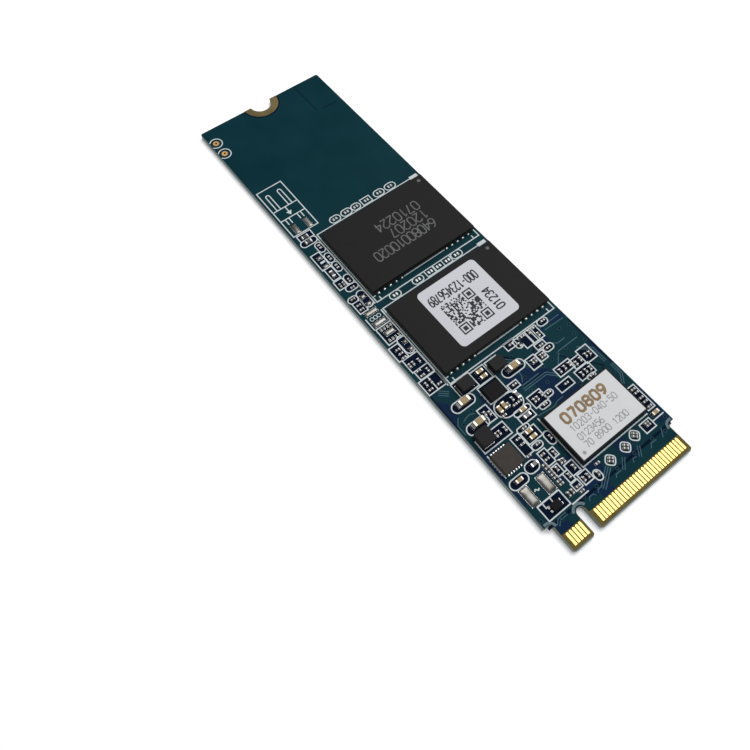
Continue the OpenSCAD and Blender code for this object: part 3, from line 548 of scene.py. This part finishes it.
    spare_rows = (FAR_SPARE_ROW, NEAR_SPARE_ROW)
    return [b for b in s.boxes if (b[2] - b[0]) * (b[3] - b[1]) < LARGEST_OUTLINE and b[1] not in spare_rows]


small_outlines = silk_top()


def markings():
    """Numbers on the packages and the label, all plain and made up."""
    s = Relief(FLASH_TOP)
    s.digits("0710224", 6.5, 49.12, 1.54, 180, 0.18, 0.006, width=0.56, advance=0.705)
    s.digits("120207", 6.5, 47.2, 1.54, 180, 0.18, 0.006, width=0.56, advance=0.705)
    s.digits("64080010020", 6.5, 45.25, 1.54, 180, 0.18, 0.006, width=0.52, advance=0.625)
    s.disc(9.4, 51.6, 0.27, 0.004)
    s.disc(9.34, 36.5, 0.27, 0.004)
    s.make("memory_markings", "laser", "mould")
    s = Relief(LABEL_TOP)
    s.digits("000-123456789", 5.25, 35.05, 1.35, 180, 0.2, 0.006, width=0.34, advance=0.47)
    s.digits("01234", 5.15, 28.25, 1.25, 90, 0.21, 0.006, width=0.44, advance=0.59)
    rng = random.Random(7)
    cell, n = 0.208, 25
    x0, y0 = -2.1, 28.0
    finders = [(0, 0), (n - 7, 0), (n - 7, n - 7)]
    for i in range(n):
        for j in range(n):
            if any(fx - 1 <= i <= fx + 7 and fy - 1 <= j <= fy + 7 for fx, fy in finders):
                continue
            if rng.random() < 0.5:
                x, y = x0 + i * cell, y0 + j * cell
                s.plate([(x, y), (x + cell, y), (x + cell, y + cell), (x, y + cell)], 0.006)
    for i, j in finders:
        x, y = x0 + i * cell, y0 + j * cell
        s.rect(x + cell / 2, y + cell / 2, x + 6.5 * cell, y + 6.5 * cell, cell, 0.006)
        s.plate([(x + 2 * cell, y + 2 * cell), (x + 5 * cell, y + 2 * cell), (x + 5 * cell, y + 5 * cell),
                 (x + 2 * cell, y + 5 * cell)], 0.006)
    s.make("label_print", "ink", "label")
    s = Relief(CONTROLLER_TOP)
    s.digits("070809", -0.4, 11.4, 1.28, 0, 0.36, 0.006, width=0.66, advance=0.98)
    s.make("controller_bold_marking", "spreader_bold", "spreader")
    s = Relief(CONTROLLER_TOP)
    s.digits("10203-040-50", -0.5, 10.15, 0.84, 0, 0.12, 0.005, width=0.56, advance=0.775)
    s.digits("0123456", -0.5, 8.88, 0.82, 0, 0.12, 0.005, width=0.56, advance=0.72)
    s.digits("70 8900 1200", -0.5, 7.72, 0.82, 0, 0.12, 0.005, width=0.56, advance=0.73)
    s.disc(-1.3, 7.6, 0.24, 0.005)
    s.make("controller_markings", "spreader_ink", "spreader")


markings()


# ---------------------------------------------------------------- shapes taken from the CAD parts

def islands(node):
    """Box of every solid of a CAD node in card millimetres, and how many x values its corners have."""
    mesh = NODES[node].data
    keys, parent = {}, []

    def find(a):
        while parent[a] != a:
            parent[a] = parent[parent[a]]
            a = parent[a]
        return a

    ids = []
    for v in mesh.vertices:
        key = (round(v.co.x * 1e6), round(v.co.y * 1e6), round(v.co.z * 1e6))
        if key not in keys:
            keys[key] = len(parent)
            parent.append(len(parent))
        ids.append(keys[key])
    for p in mesh.polygons:
        first = find(ids[p.vertices[0]])
        for v in p.vertices[1:]:
            other = find(ids[v])
            if other != first:
                parent[other] = first
    groups = {}
    for (x, y, z), i in keys.items():
        groups.setdefault(find(i), []).append((x / 1000, y / 1000 + CARD_L / 2, z / 1000))
    out = []
    for pts in groups.values():
        xs, ys, zs = zip(*pts)
        out.append((min(xs), min(ys), min(zs), max(xs), max(ys), max(zs), len({round(x, 2) for x in xs})))
    return sorted(out)


def corner_ring(box, r, steps):
    """Rounded rectangle as points, anticlockwise."""
    x0, y0, x1, y1 = box
    r = min(r, (x1 - x0) / 2 - 0.001, (y1 - y0) / 2 - 0.001)
    pts = []
    for cx, cy, a0 in ((x1 - r, y0 + r, -90), (x1 - r, y1 - r, 0), (x0 + r, y1 - r, 90),
        (x0 + r, y0 + r, 180)):
        for k in range(steps + 1):
            a = math.radians(a0 + 90 * k / steps)
            pts.append((cx + r * math.cos(a), cy + r * math.sin(a)))
    return pts


def loft(relief, rings):
    """Closed skin through rings of the same length, each with its height, capped at both ends."""
    rows = [[relief.add(x, y, h) for x, y in pts] for pts, h in rings]
    n = len(rows[0])
    for a, b in zip(rows, rows[1:]):
        for i in range(n):
            j = (i + 1) % n
            relief.faces.append((a[i], a[j], b[j], b[i]))
    relief.faces.append(tuple(rows[-1]))
    relief.faces.append(tuple(rows[0][::-1]))


def pillow(relief, box, height, steps=3, rows=4):
    """Solder pulled up into a cushion by its own surface tension."""
    x0, y0, x1, y1 = box
    small = min(x1 - x0, y1 - y0) / 2
    rings = []
    for k in range(rows + 1):
        a = math.radians(84 * k / rows)
        inset = small * 0.92 * (1 - math.cos(a))
        rings.append((corner_ring((x0 + inset, y0 + inset, x1 - inset, y1 - inset), 0.25 * small, steps),
                      height * math.sin(a)))
    loft(relief, rings)


def solder():
    s = Relief(GOLD_TOP)
    for x0, y0, z0, x1, y1, z1, _ in islands("tinned_pads_top"):
        rise = min(0.16, 0.22 * min(x1 - x0, y1 - y0))
        pillow(s, (x0 + 0.02, y0 + 0.02, x1 - 0.02, y1 - 0.02), rise + z1 - GOLD_TOP, steps=4, rows=6)
    s.make("solder_cushions", "cushion", "tin", smooth=True)
    s = Relief(GOLD_TOP)
    ball_at = {(round((b[0] + b[3]) / 2, 1), round((b[1] + b[4]) / 2, 1))
               for node in ("flash_1_balls", "flash_2_balls") for b in islands(node)}
    for x0, y0, z0, x1, y1, z1, _ in islands("flash_lands_top"):
        if (round((x0 + x1) / 2, 1), round((y0 + y1) / 2, 1)) not in ball_at:
            pillow(s, (x0 + 0.01, y0 + 0.01, x1 - 0.01, y1 - 0.01), 0.11)
    s.make("solder_domes", "bright_solder", "tin", smooth=True)
    s = Relief(GOLD_TOP)
    ends = [b for node in ("capacitor_0603_terminals", "capacitor_0402_terminals",
        "resistor_0402_terminals",
                           "chip_0201_terminals") for b in islands(node)]
    for x0, y0, z0, x1, y1, z1, straight in islands("component_lands_top"):
        if straight > 2:
            continue
        for b in ends:
            if x0 < (b[0] + b[3]) / 2 < x1 and y0 < (b[1] + b[4]) / 2 < y1:
                tall = b[5] - GOLD_TOP
                rings = []
                for t, h in ((0.0, 0.0), (0.5, 0.15), (0.85, 0.38), (1.0, 0.6)):
                    box = [(1 - t) * (p + m) + t * (q + g) for p, m, q, g in zip(
                        (x0, y0, x1, y1), (0.01, 0.01, -0.01, -0.01), (b[0], b[1], b[3], b[4]),
                        (-0.004, -0.004, 0.004, 0.004))]
                    rings.append((corner_ring(box, 0.05, 2), h * tall))
                loft(s, rings)
                break
    s.make("solder_fillets", "bright_solder", "tin", smooth=True)


solder()


# ---------------------------------------------------------------- copper seen through the mask

TRACE_W, TRACE_H = 0.13, 0.012
NOTCH_LAND_TOP = 2.9
GAP_H = 0.004
VIA_R = 0.2


def bundle(relief, pts, n, pitch, width=TRACE_W, height=TRACE_H):
    """n parallel tracks that follow one route."""
    for k in range(n):
        off = (k - (n - 1) / 2) * pitch
        out = []
        for i, (x, y) in enumerate(pts):
            a, b = pts[max(i - 1, 0)], pts[min(i + 1, len(pts) - 1)]
            d1 = (x - a[0], y - a[1]) if i else (b[0] - x, b[1] - y)
            d2 = (b[0] - x, b[1] - y) if i < len(pts) - 1 else d1
            l1, l2 = math.hypot(*d1) or 1e-9, math.hypot(*d2) or 1e-9
            tx, ty = d1[0] / l1 + d2[0] / l2, d1[1] / l1 + d2[1] / l2
            length = math.hypot(tx, ty) or 1e-9
            grow = 1 / max(0.6, (tx * d1[0] + ty * d1[1]) / length / l1)
            out.append((x - ty / length * off * grow, y + tx / length * off * grow))
        relief.line(out, width, height)


TOP_ROUTES = [
    ([(-1.3, 24.0), (-0.7, 23.2), (1.6, 20.9), (2.6, 20.1)], 2, 0.36),
    ([(-0.9, 18.0), (2.9, 18.0), (4.1, 16.8)], 2, 0.32), ([(-0.7, 18.55), (2.2, 18.55)], 1, 0.3),
    ([(7.2, 22.6), (10.4, 22.5)], 1, 0.3), ([(3.6, 21.9), (5.2, 22.0)], 1, 0.3),
    ([(6.7, 23.2), (10.3, 23.2)], 1, 0.3),
    ([(-9.7, 24.2), (-8.7, 23.3)], 3, 0.3), ([(-9.7, 19.4), (-8.6, 19.7), (-7.9, 19.4)], 1, 0.3),
    ([(-0.3, 18.9), (0.2, 19.6), (0.3, 20.2)], 1, 0.3), ([(5.2, 21.9), (7.1, 20.2), (8.4, 20.2)], 1, 0.3),
    ([(-4.5, 3.15), (-4.2, 3.5), (-3.6, 3.5), (-3.4, 3.2)], 1, 0.3),
    ([(-3.0, 3.2), (-2.7, 3.55), (-2.0, 3.5)], 1, 0.3),
    ([(0.0, 3.15), (0.3, 3.5), (1.1, 3.45)], 1, 0.3), ([(3.0, 3.2), (3.3, 3.6), (3.8, 3.5)], 1, 0.3),
    ([(6.0, 3.1), (6.5, 3.6), (7.3, 3.5)], 1, 0.3), ([(-2.2, 3.2), (0.2, 4.7)], 3, 0.3),
    ([(1.4, 3.3), (2.5, 4.4)], 2, 0.3), ([(4.2, 3.2), (5.0, 4.3)], 2, 0.3),
    ([(8.2, 3.2), (8.9, 4.2)], 1, 0.3),
    ([(-9.4, 3.3), (-8.8, 3.8), (-7.6, 3.8)], 2, 0.28), ([(5.0, 17.9), (6.4, 19.3), (9.8, 19.3)], 1, 0.3),
    ([(8.6, 18.2), (10.2, 16.9), (10.2, 14.6)], 2, 0.3),
    ([(-1.9, 14.4), (0.6, 14.1), (1.4, 14.4), (2.4, 14.4)], 1, 0.3),
    ([(-10.6, 17.9), (-10.6, 19.4), (-9.9, 20.2)], 1, 0.3),
    ([(9.6, 11.0), (10.5, 12.2), (10.5, 13.9)], 2, 0.28),
]
TOP_GAPS = [
    ([(-1.2, 24.2), (3.3, 19.7)], 0.35), ([(4.6, 24.2), (4.6, 22.0), (2.8, 20.2)], 0.2),
    ([(-10.8, 24.3), (-10.8, 19.0)], 0.18), ([(10.75, 22.0), (10.75, 14.0)], 0.18),
    ([(-0.6, 18.3), (3.2, 18.3)], 0.16), ([(9.7, 14.2), (5.8, 19.0)], 0.16),
    ([(6.35, 79.7), (6.35, 73.3)], 0.12),
    ([(7.4, 73.0), (8.2, 73.15), (9.0, 72.95), (10.0, 73.1)], 0.12), ([(-10.6, 3.75), (10.4, 3.95)], 0.35),
    ([(9.2, 14.2), (9.2, 6.2)], 0.2),
]
TOP_VIAS = [(4.9, 18.9), (6.1, 19.0), (9.9, 19.9), (10.3, 21.3), (-9.9, 19.1), (-8.0, 19.9), (0.4, 19.2),
    (-0.3, 17.4),
            (3.3, 18.9), (1.0, 22.4), (7.5, 19.0), (8.9, 21.6), (5.3, 14.3), (10.4, 18.4), (9.8, 24.9),
            (-10.2, 13.9),
            (-4.7, 3.9), (-2.6, 3.9), (0.9, 3.9), (3.9, 3.95), (7.0, 3.9), (9.0, 3.6), (-8.6, 3.6),
            (10.4, 4.9),
            (-7.4, 19.0), (-10.6, 4.9), (2.2, 17.0), (5.3, 16.0), (9.6, 13.4), (10.3, 12.8), (-2.5, 14.3)]
BOTTOM_ROUTES = [
    ([(-3.8, 21.75), (-2.1, 21.75), (-0.2, 23.6), (0.8, 23.6)], 3, 0.22),
    ([(-3.5, 20.2), (-2.5, 20.2), (-0.9, 18.9), (-0.1, 18.9)], 3, 0.22),
    ([(-4.0, 19.4), (-2.8, 18.6)], 3, 0.2),
    ([(0.1, 19.15), (2.5, 19.15)], 1, 0.3), ([(1.0, 19.45), (2.4, 19.45)], 1, 0.3),
    ([(-8.3, 17.28), (-3.5, 17.28)], 2, 0.44), ([(-8.8, 15.9), (-7.8, 15.0)], 3, 0.2),
    ([(0.65, 17.65), (1.1, 17.25), (1.75, 17.3)], 1, 0.3), ([(0.35, 16.9), (-0.75, 15.8)], 1, 0.3),
    ([(1.75, 16.8), (2.4, 16.1), (2.15, 15.3), (1.6, 14.7)], 1, 0.3), ([(-0.1, 14.2), (0.5, 14.2)], 1, 0.3),
    ([(-0.36, 14.2), (-0.3, 13.0), (-1.7, 11.7), (-1.75, 10.9)], 1, 0.3),
    ([(5.3, 21.1), (7.5, 18.6), (8.15, 18.6)], 2, 0.24),
    ([(3.25, 21.15), (4.1, 20.5)], 2, 0.22), ([(4.7, 17.8), (6.05, 16.55), (7.4, 17.8)], 1, 0.3),
    ([(9.5, 15.9), (6.2, 12.6)], 1, 0.3), ([(8.1, 14.9), (5.6, 12.4)], 1, 0.3),
    ([(2.3, 12.0), (4.9, 12.0)], 3, 0.2),
    ([(6.1, 11.5), (7.5, 11.5), (8.5, 10.75), (9.6, 10.7)], 2, 0.24),
    ([(-8.5, 12.0), (-7.5, 13.0), (-4.2, 13.0), (-3.4, 13.7)], 3, 0.2),
    ([(-7.2, 11.0), (-6.1, 11.05), (-5.4, 10.65), (-3.3, 10.65), (-2.3, 9.85), (0.0, 9.85), (1.6, 11.3),
    (2.4, 11.9)], 2, 0.22),
    ([(-8.6, 9.8), (-7.0, 9.85), (-6.4, 10.12), (-3.6, 10.1), (-2.7, 9.4), (-1.8, 9.35)], 1, 0.3),
    ([(-8.7, 9.3), (-6.7, 9.35), (-6.2, 9.75), (-3.9, 9.75), (-2.6, 8.9)], 1, 0.3),
    ([(-5.4, 9.25), (-3.55, 9.3), (-2.6, 8.65), (0.35, 8.65), (1.0, 9.1)], 1, 0.3),
    ([(-9.6, 8.0), (-8.6, 7.2), (-3.1, 7.2), (-2.3, 6.7)], 2, 0.34),
    ([(-1.5, 7.0), (1.9, 7.0), (3.7, 5.2)], 5, 0.17),
    ([(3.0, 6.55), (5.0, 6.45), (5.7, 5.8), (6.6, 5.7)], 2, 0.24),
    ([(4.9, 7.2), (6.4, 7.1), (7.1, 6.75), (8.6, 6.75), (9.1, 6.15), (10.2, 6.15)], 1, 0.3),
    ([(5.2, 7.7), (6.4, 7.5), (7.0, 7.05), (8.9, 7.05), (9.2, 6.7), (10.3, 6.7)], 1, 0.3),
    ([(4.6, 7.2), (6.0, 6.75), (7.4, 5.65)], 1, 0.3),
    ([(-10.4, 5.8), (-9.0, 4.5), (0.8, 4.5), (1.6, 5.2)], 1, 0.3),
    ([(-10.0, 6.0), (-8.9, 4.95), (0.65, 4.95), (1.3, 5.65)], 1, 0.3),
    ([(-9.0, 3.95), (-8.1, 3.95), (-7.8, 3.55)], 1, 0.3),
    ([(-6.7, 3.5), (-6.4, 3.65), (-5.0, 3.65), (-4.7, 3.2)], 1, 0.3),
    ([(-1.85, 4.0), (-1.1, 4.0), (-2.0, 3.15)], 1, 0.3),
    ([(2.5, 4.1), (1.4, 3.15)], 4, 0.2), ([(7.5, 4.1), (7.8, 4.4), (9.2, 4.4), (9.5, 4.0)], 1, 0.3),
    ([(4.3, 4.1), (5.0, 4.1)], 1, 0.3), ([(6.1, 10.8), (5.8, 10.0), (4.9, 8.8)], 1, 0.3),
    ([(8.2, 24.1), (6.9, 23.8), (7.9, 22.9)], 2, 0.24), ([(5.3, 9.0), (5.8, 8.6), (6.4, 9.2)], 1, 0.3),
]
BOTTOM_GAPS = [
    ([(-9.1, 24.2), (-9.1, 16.4)], 0.7), ([(-10.35, 24.2), (-10.35, 6.4)], 0.12),
    ([(-3.1, 18.6), (-3.1, 13.9)], 0.7),
    ([(1.85, 24.2), (1.85, 21.4)], 0.25), ([(3.0, 24.2), (3.0, 21.3)], 0.25),
    ([(5.2, 24.2), (5.2, 21.3)], 0.25),
    ([(8.05, 22.6), (8.05, 18.9)], 0.25), ([(9.85, 23.8), (9.85, 12.0)], 0.5),
    ([(8.8, 15.4), (5.7, 12.3), (4.7, 8.9)], 0.6),
    ([(5.9, 16.3), (5.9, 13.4)], 0.2), ([(-8.9, 11.9), (-9.2, 8.2)], 0.7),
    ([(-2.0, 15.9), (-2.0, 14.0)], 0.9),
    ([(0.9, 6.0), (3.1, 3.4)], 0.5), ([(5.4, 8.6), (5.4, 4.9)], 0.5), ([(-10.2, 3.6), (3.8, 3.4)], 0.3),
    ([(-0.9, 14.9), (-0.9, 12.9), (-2.2, 11.7), (-2.2, 10.4)], 0.3), ([(7.3, 3.6), (10.2, 4.4)], 0.4),
    ([(8.9, 56.0), (8.9, 24.3)], 0.12), ([(-1.6, 6.1), (1.2, 6.15)], 0.4),
    ([(4.7, 17.5), (4.1, 18.9)], 0.2),
]
BOTTOM_RINGS = [(-9.5, 12.6), (-6.8, 14.5), (-5.85, 14.9), (-5.35, 15.4), (-6.7, 12.45), (-7.7, 11.25),
    (-4.35, 11.25),
                (-1.3, 14.45), (-2.6, 13.1), (-1.65, 13.05), (-2.6, 12.4), (1.15, 14.45), (1.0, 12.85),
                (1.6, 12.4),
                (0.45, 11.85), (3.15, 10.85), (1.6, 9.15), (2.4, 8.95), (3.0, 8.75), (-1.95, 8.3)]


def scatter(rng, n, box):
    return [(rng.uniform(box[0], box[2]), rng.uniform(box[1], box[3])) for _ in range(n)]


def copper(level, underside, routes, gaps, vias, tag):
    t = Relief(level, underside)
    for pts, n, pitch in routes:
        bundle(t, pts, n, pitch)
    t.make("tracks_" + tag, "trace", "solder_mask")
    g = Relief(level, underside)
    for pts, width in gaps:
        g.line(pts, width, GAP_H)
    g.make("bare_strips_" + tag, "gap", "solder_mask")
    v, h = Relief(level, underside), Relief(level, underside)
    for x, y in vias:
        v.ring(x, y, VIA_R, 0.1, TRACE_H, steps=12)
        h.disc(x, y, VIA_R - 0.05, GAP_H, steps=10)
    v.make("vias_" + tag, "via" if tag == "top" else "trace", "solder_mask")
    h.make("via_pits_" + tag, "gap", "solder_mask")


rng = random.Random(11)
copper(MASK_TOP, False, TOP_ROUTES, TOP_GAPS, TOP_VIAS, "top")
bottom_vias = ([(-8.45 + 1.19 * k, y) for k in range(5) for y in (8.75, 8.15)]
               + [(x, y) for x in (8.0, 8.75, 9.5) for y in (13.3, 12.7, 12.1)]
               + [(-8.9 + dx, y) for dx, y in ((0.0, 14.6), (0.5, 14.1), (0.2, 13.6), (-0.1, 11.5), (0.3,
               10.9), (-0.4, 10.3))]
               + [(x + dx, y + dy) for x, y in ((0.6, 20.1), (2.2, 20.7), (3.6, 20.4), (6.9, 20.6), (8.6,
               20.2), (9.4, 19.2))
                  for dx, dy in ((0, 0), (0.5, 0.15), (0.15, -0.45))]
               + [(x + dx, y) for x, y in ((-2.4, 17.3), (-2.5, 16.1), (-1.4, 16.5), (3.2, 17.2), (3.9,
               16.3), (7.8, 16.9),
                                           (5.7, 14.9), (6.2, 14.2), (8.3, 14.9), (9.7, 14.6), (4.6, 10.9),
                                           (5.1, 11.7))
                  for dx in (0, 0.45)]
               + scatter(rng, 10, (-8.6, 18.4, -4.4, 23.0)) + scatter(rng, 8, (6.2, 7.9, 10.4, 10.0))
               + scatter(rng, 9, (-9.6, 3.3, -1.0, 4.1)) + scatter(rng, 10, (3.4, 4.6, 8.6, 6.0))
               + scatter(rng, 9, (7.8, 41.0, 10.3, 45.6)) + scatter(rng, 8, (8.0, 24.6, 10.3, 37.0)))
copper(MASK_BOTTOM, True, BOTTOM_ROUTES, BOTTOM_GAPS, bottom_vias, "bottom")


def bare_and_shaded_patches():
    """Mask straight on the laminate, darker, round the memory lands; inside the part outlines the dark
    patches are partly bare laminate and partly painted shade round the parts.
    """
    g = Relief(MASK_TOP)
    # painted shade: dark plates inside the small part outlines, partly bare laminate and partly the shade
    # round the parts
    for x0, y0, x1, y1 in small_outlines:
        g.plate(corner_ring((x0 + 0.05, y0 + 0.05, x1 - 0.05, y1 - 0.05), 0.12, 2), GAP_H)
    g.make("bare_and_shaded_patches_top", "gap", "solder_mask")
    g = Relief(MASK_BOTTOM, True)
    for x0, y0, z0, x1, y1, z1, _ in islands("flash_lands_bottom"):
        g.ring(-(x0 + x1) / 2, (y0 + y1) / 2, 0.36, 0.2, GAP_H, steps=12)
    for x0, y0, z0, x1, y1, z1, _ in islands("spare_lands_bottom"):
        g.rect(-x1 - 0.1, y0 - 0.1, -x0 + 0.1, y1 + 0.1, 0.12, GAP_H)
    g.make("bare_rings_bottom", "gap", "solder_mask")
    for level, underside, tag in ((MASK_TOP, False, "top"), (MASK_BOTTOM, True, "bottom")):
        e = Relief(level, underside)
        k = -1 if underside else 1
        plate = max(b[3] for b in islands("mounting_notch_plating")) if underside else NOTCH_LAND_TOP
        g = Relief(level, underside)
        g.ring(0, CARD_L, plate + 0.12, 0.2, GAP_H, start=184, sweep=172, steps=40)
        g.make("notch_land_gap_" + tag, "gap", "solder_mask")
        e.ring(k * -6.125, 2.9, 0.95, 0.36, TRACE_H, start=22, sweep=136, steps=16)
        for s in (-1, 1):
            arc = [(10.425 + 0.82 * math.cos(math.radians(a)), 3.5 + 0.82 * math.sin(math.radians(a)))
                   for a in range(180, 89, -15)]
            e.line([(s * x, y) for x, y in [*arc, (10.75, 4.32)]], 0.34, TRACE_H)
        e.make("thin_mask_rims_" + tag, "rim", "solder_mask")


bare_and_shaded_patches()


def silk_bottom():
    s = Relief(MASK_BOTTOM, True)
    for top, bottom, seg in ((53.6, 39.5, (44.1, 49.1)), (38.35, 24.35, (28.9, 33.9))):
        s.rect(-10.55, bottom, 7.5, top, SILK_W, SILK_H)
        for x in (-9.8, 6.7):
            s.line([(x, seg[0]), (x, seg[1])], SILK_W, SILK_H)
            s.line([(x, top), (x, top - 0.6)], SILK_W, SILK_H)
        for y in (top - 1.0, bottom + 1.02):
            s.line([(-5.1, y), (2.0, y)], SILK_W * 1.3, SILK_H)
            s.line([(7.0, y), (7.5, y)], SILK_W, SILK_H)
        s.line([(-10.5, top - 1.0), (-10.0, top - 1.0)], SILK_W, SILK_H)
        s.line([(6.7, bottom), (6.7, bottom + 0.55)], SILK_W, SILK_H)
        s.plate([(-10.65, bottom - 0.1), (-9.35, bottom - 0.1), (-9.35, bottom + 0.1),
            (-10.3, bottom + 1.2),
                 (-10.65, bottom + 1.2)], SILK_H)
    for b in ((-7.0, 53.7, -5.15, 54.85), (-0.7, 53.7, 1.2, 54.85), (2.9, 53.7, 4.8, 54.85),
        (7.8, 50.7, 8.9, 52.6),
              (7.8, 48.4, 8.9, 50.3), (7.8, 46.6, 8.9, 48.5), (-6.85, 38.4, -5.05, 39.45),
              (0.05, 38.4, 1.8, 39.45),
              (3.95, 38.4, 5.75, 39.45), (-7.2, 23.2, -5.4, 24.3), (-3.6, 22.5, -2.55, 24.2)):
        s.capsule(*b, SILK_W, SILK_H)
    for b in ((-2.5, 53.7, -1.0, 54.8), (-3.5, 38.4, -2.05, 39.45), (-1.95, 38.4, -0.5, 39.45),
        (-5.0, 23.2, -3.6, 24.3),
              (-2.5, 23.2, -1.4, 24.3), (-10.65, 74.5, -2.75, 78.1)):
        s.rect(*b, SILK_W, SILK_H)
    s.disc(-3.95, 73.3, 0.28, SILK_H, steps=8)
    for x, y in BOTTOM_RINGS:
        s.ring(x, y, 0.49, 0.15, SILK_H, steps=20)
    for x, y, text in ((-5.1, 67.4, "10"), (-1.9, 67.35, "20")):
        s.ring(x, y, 1.2, 0.2, SILK_H, steps=32)
        s.digits(text, x + 0.72, y + 0.55, 1.1, 180, 0.17, SILK_H, width=0.5, advance=0.74)
    s.digits("070707", 5.2, 69.95, 1.05, 180, 0.2, SILK_H, width=0.55, advance=0.9)
    s.digits("71-4", 5.1, 68.2, 1.3, 180, 0.2, SILK_H, width=0.55, advance=0.9)
    s.digits("080", -3.9, 59.75, 0.85, 180, 0.16, SILK_H, width=0.6, advance=1.1)
    s.digits("470", -0.6, 58.0, 1.15, 0, 0.2, SILK_H, width=0.6, advance=0.85)
    s.digits("0701200000000", 10.05, 56.5, 0.9, 90, 0.2, SILK_H, width=0.72, advance=1.02)
    s.make("silk_print_bottom", "silk", "solder_mask")


silk_bottom()


# ---------------------------------------------------------------- stage, light and camera

def stage():
    side = 1.2
    mesh = bpy.data.meshes.new("floor")
    mesh.from_pydata([(-side, -side, 0), (side, -side, 0), (side, side, 0), (-side, side, 0)], [],
        [(0, 1, 2, 3)])
    floor = bpy.data.objects.new("floor", mesh)
    floor.location.z = -0.00002
    bpy.context.scene.collection.objects.link(floor)
    m, nodes, links, bsdf = new_material("floor_paper")
    bsdf.inputs["Base Color"].default_value = (0.95, 0.95, 0.95, 1)
    bsdf.inputs["Emission Color"].default_value = (1, 1, 1, 1)
    bsdf.inputs["Emission Strength"].default_value = 0.1
    bsdf.inputs["Roughness"].default_value = 0.9
    mesh.materials.append(m)


def area_light(name, at, towards, size, power, colour=(1, 1, 1)):
    data = bpy.data.lights.new(name, "AREA")
    data.shape, data.size, data.energy, data.color = "SQUARE", size, power, colour
    o = bpy.data.objects.new(name, data)
    o.location = at
    o.rotation_mode = "QUATERNION"
    o.rotation_quaternion = (Vector(towards) - Vector(at)).to_track_quat("-Z", "Y")
    bpy.context.scene.collection.objects.link(o)


stage()
area_light("key_light", (0.15, 0.06, 0.32), (0, 0, 0), 0.26, 1.05)
area_light("fill_light", (-0.25, -0.30, 0.20), (0, 0, 0), 0.2, 0.25)
world = bpy.data.worlds.new("studio")
world.use_nodes = True
world.node_tree.nodes["Background"].inputs["Color"].default_value = (0.95, 0.97, 1.0, 1)
world.node_tree.nodes["Background"].inputs["Strength"].default_value = 0.42
bpy.context.scene.world = world
bpy.context.scene.view_settings.view_transform = "Standard"

camera_data = bpy.data.cameras.new("camera")
camera_data.lens = 28.818
camera_data.sensor_width = 36
camera_data.clip_start, camera_data.clip_end = 0.001, 10
camera = bpy.data.objects.new("camera", camera_data)
camera.location = Vector((-33.783, -34.037, 70.025)) * MM
azimuth, elevation, roll = math.radians(-37.647), math.radians(65.452), math.radians(0.159)
back = Vector((math.sin(azimuth) * math.cos(elevation), -math.cos(azimuth) * math.cos(elevation),
    math.sin(elevation)))
camera.rotation_mode = "QUATERNION"
turn = (-back).to_track_quat("-Z", "Y")
camera.rotation_quaternion = turn @ Quaternion((0, 0, 1), roll)
bpy.context.scene.collection.objects.link(camera)
bpy.context.scene.camera = camera
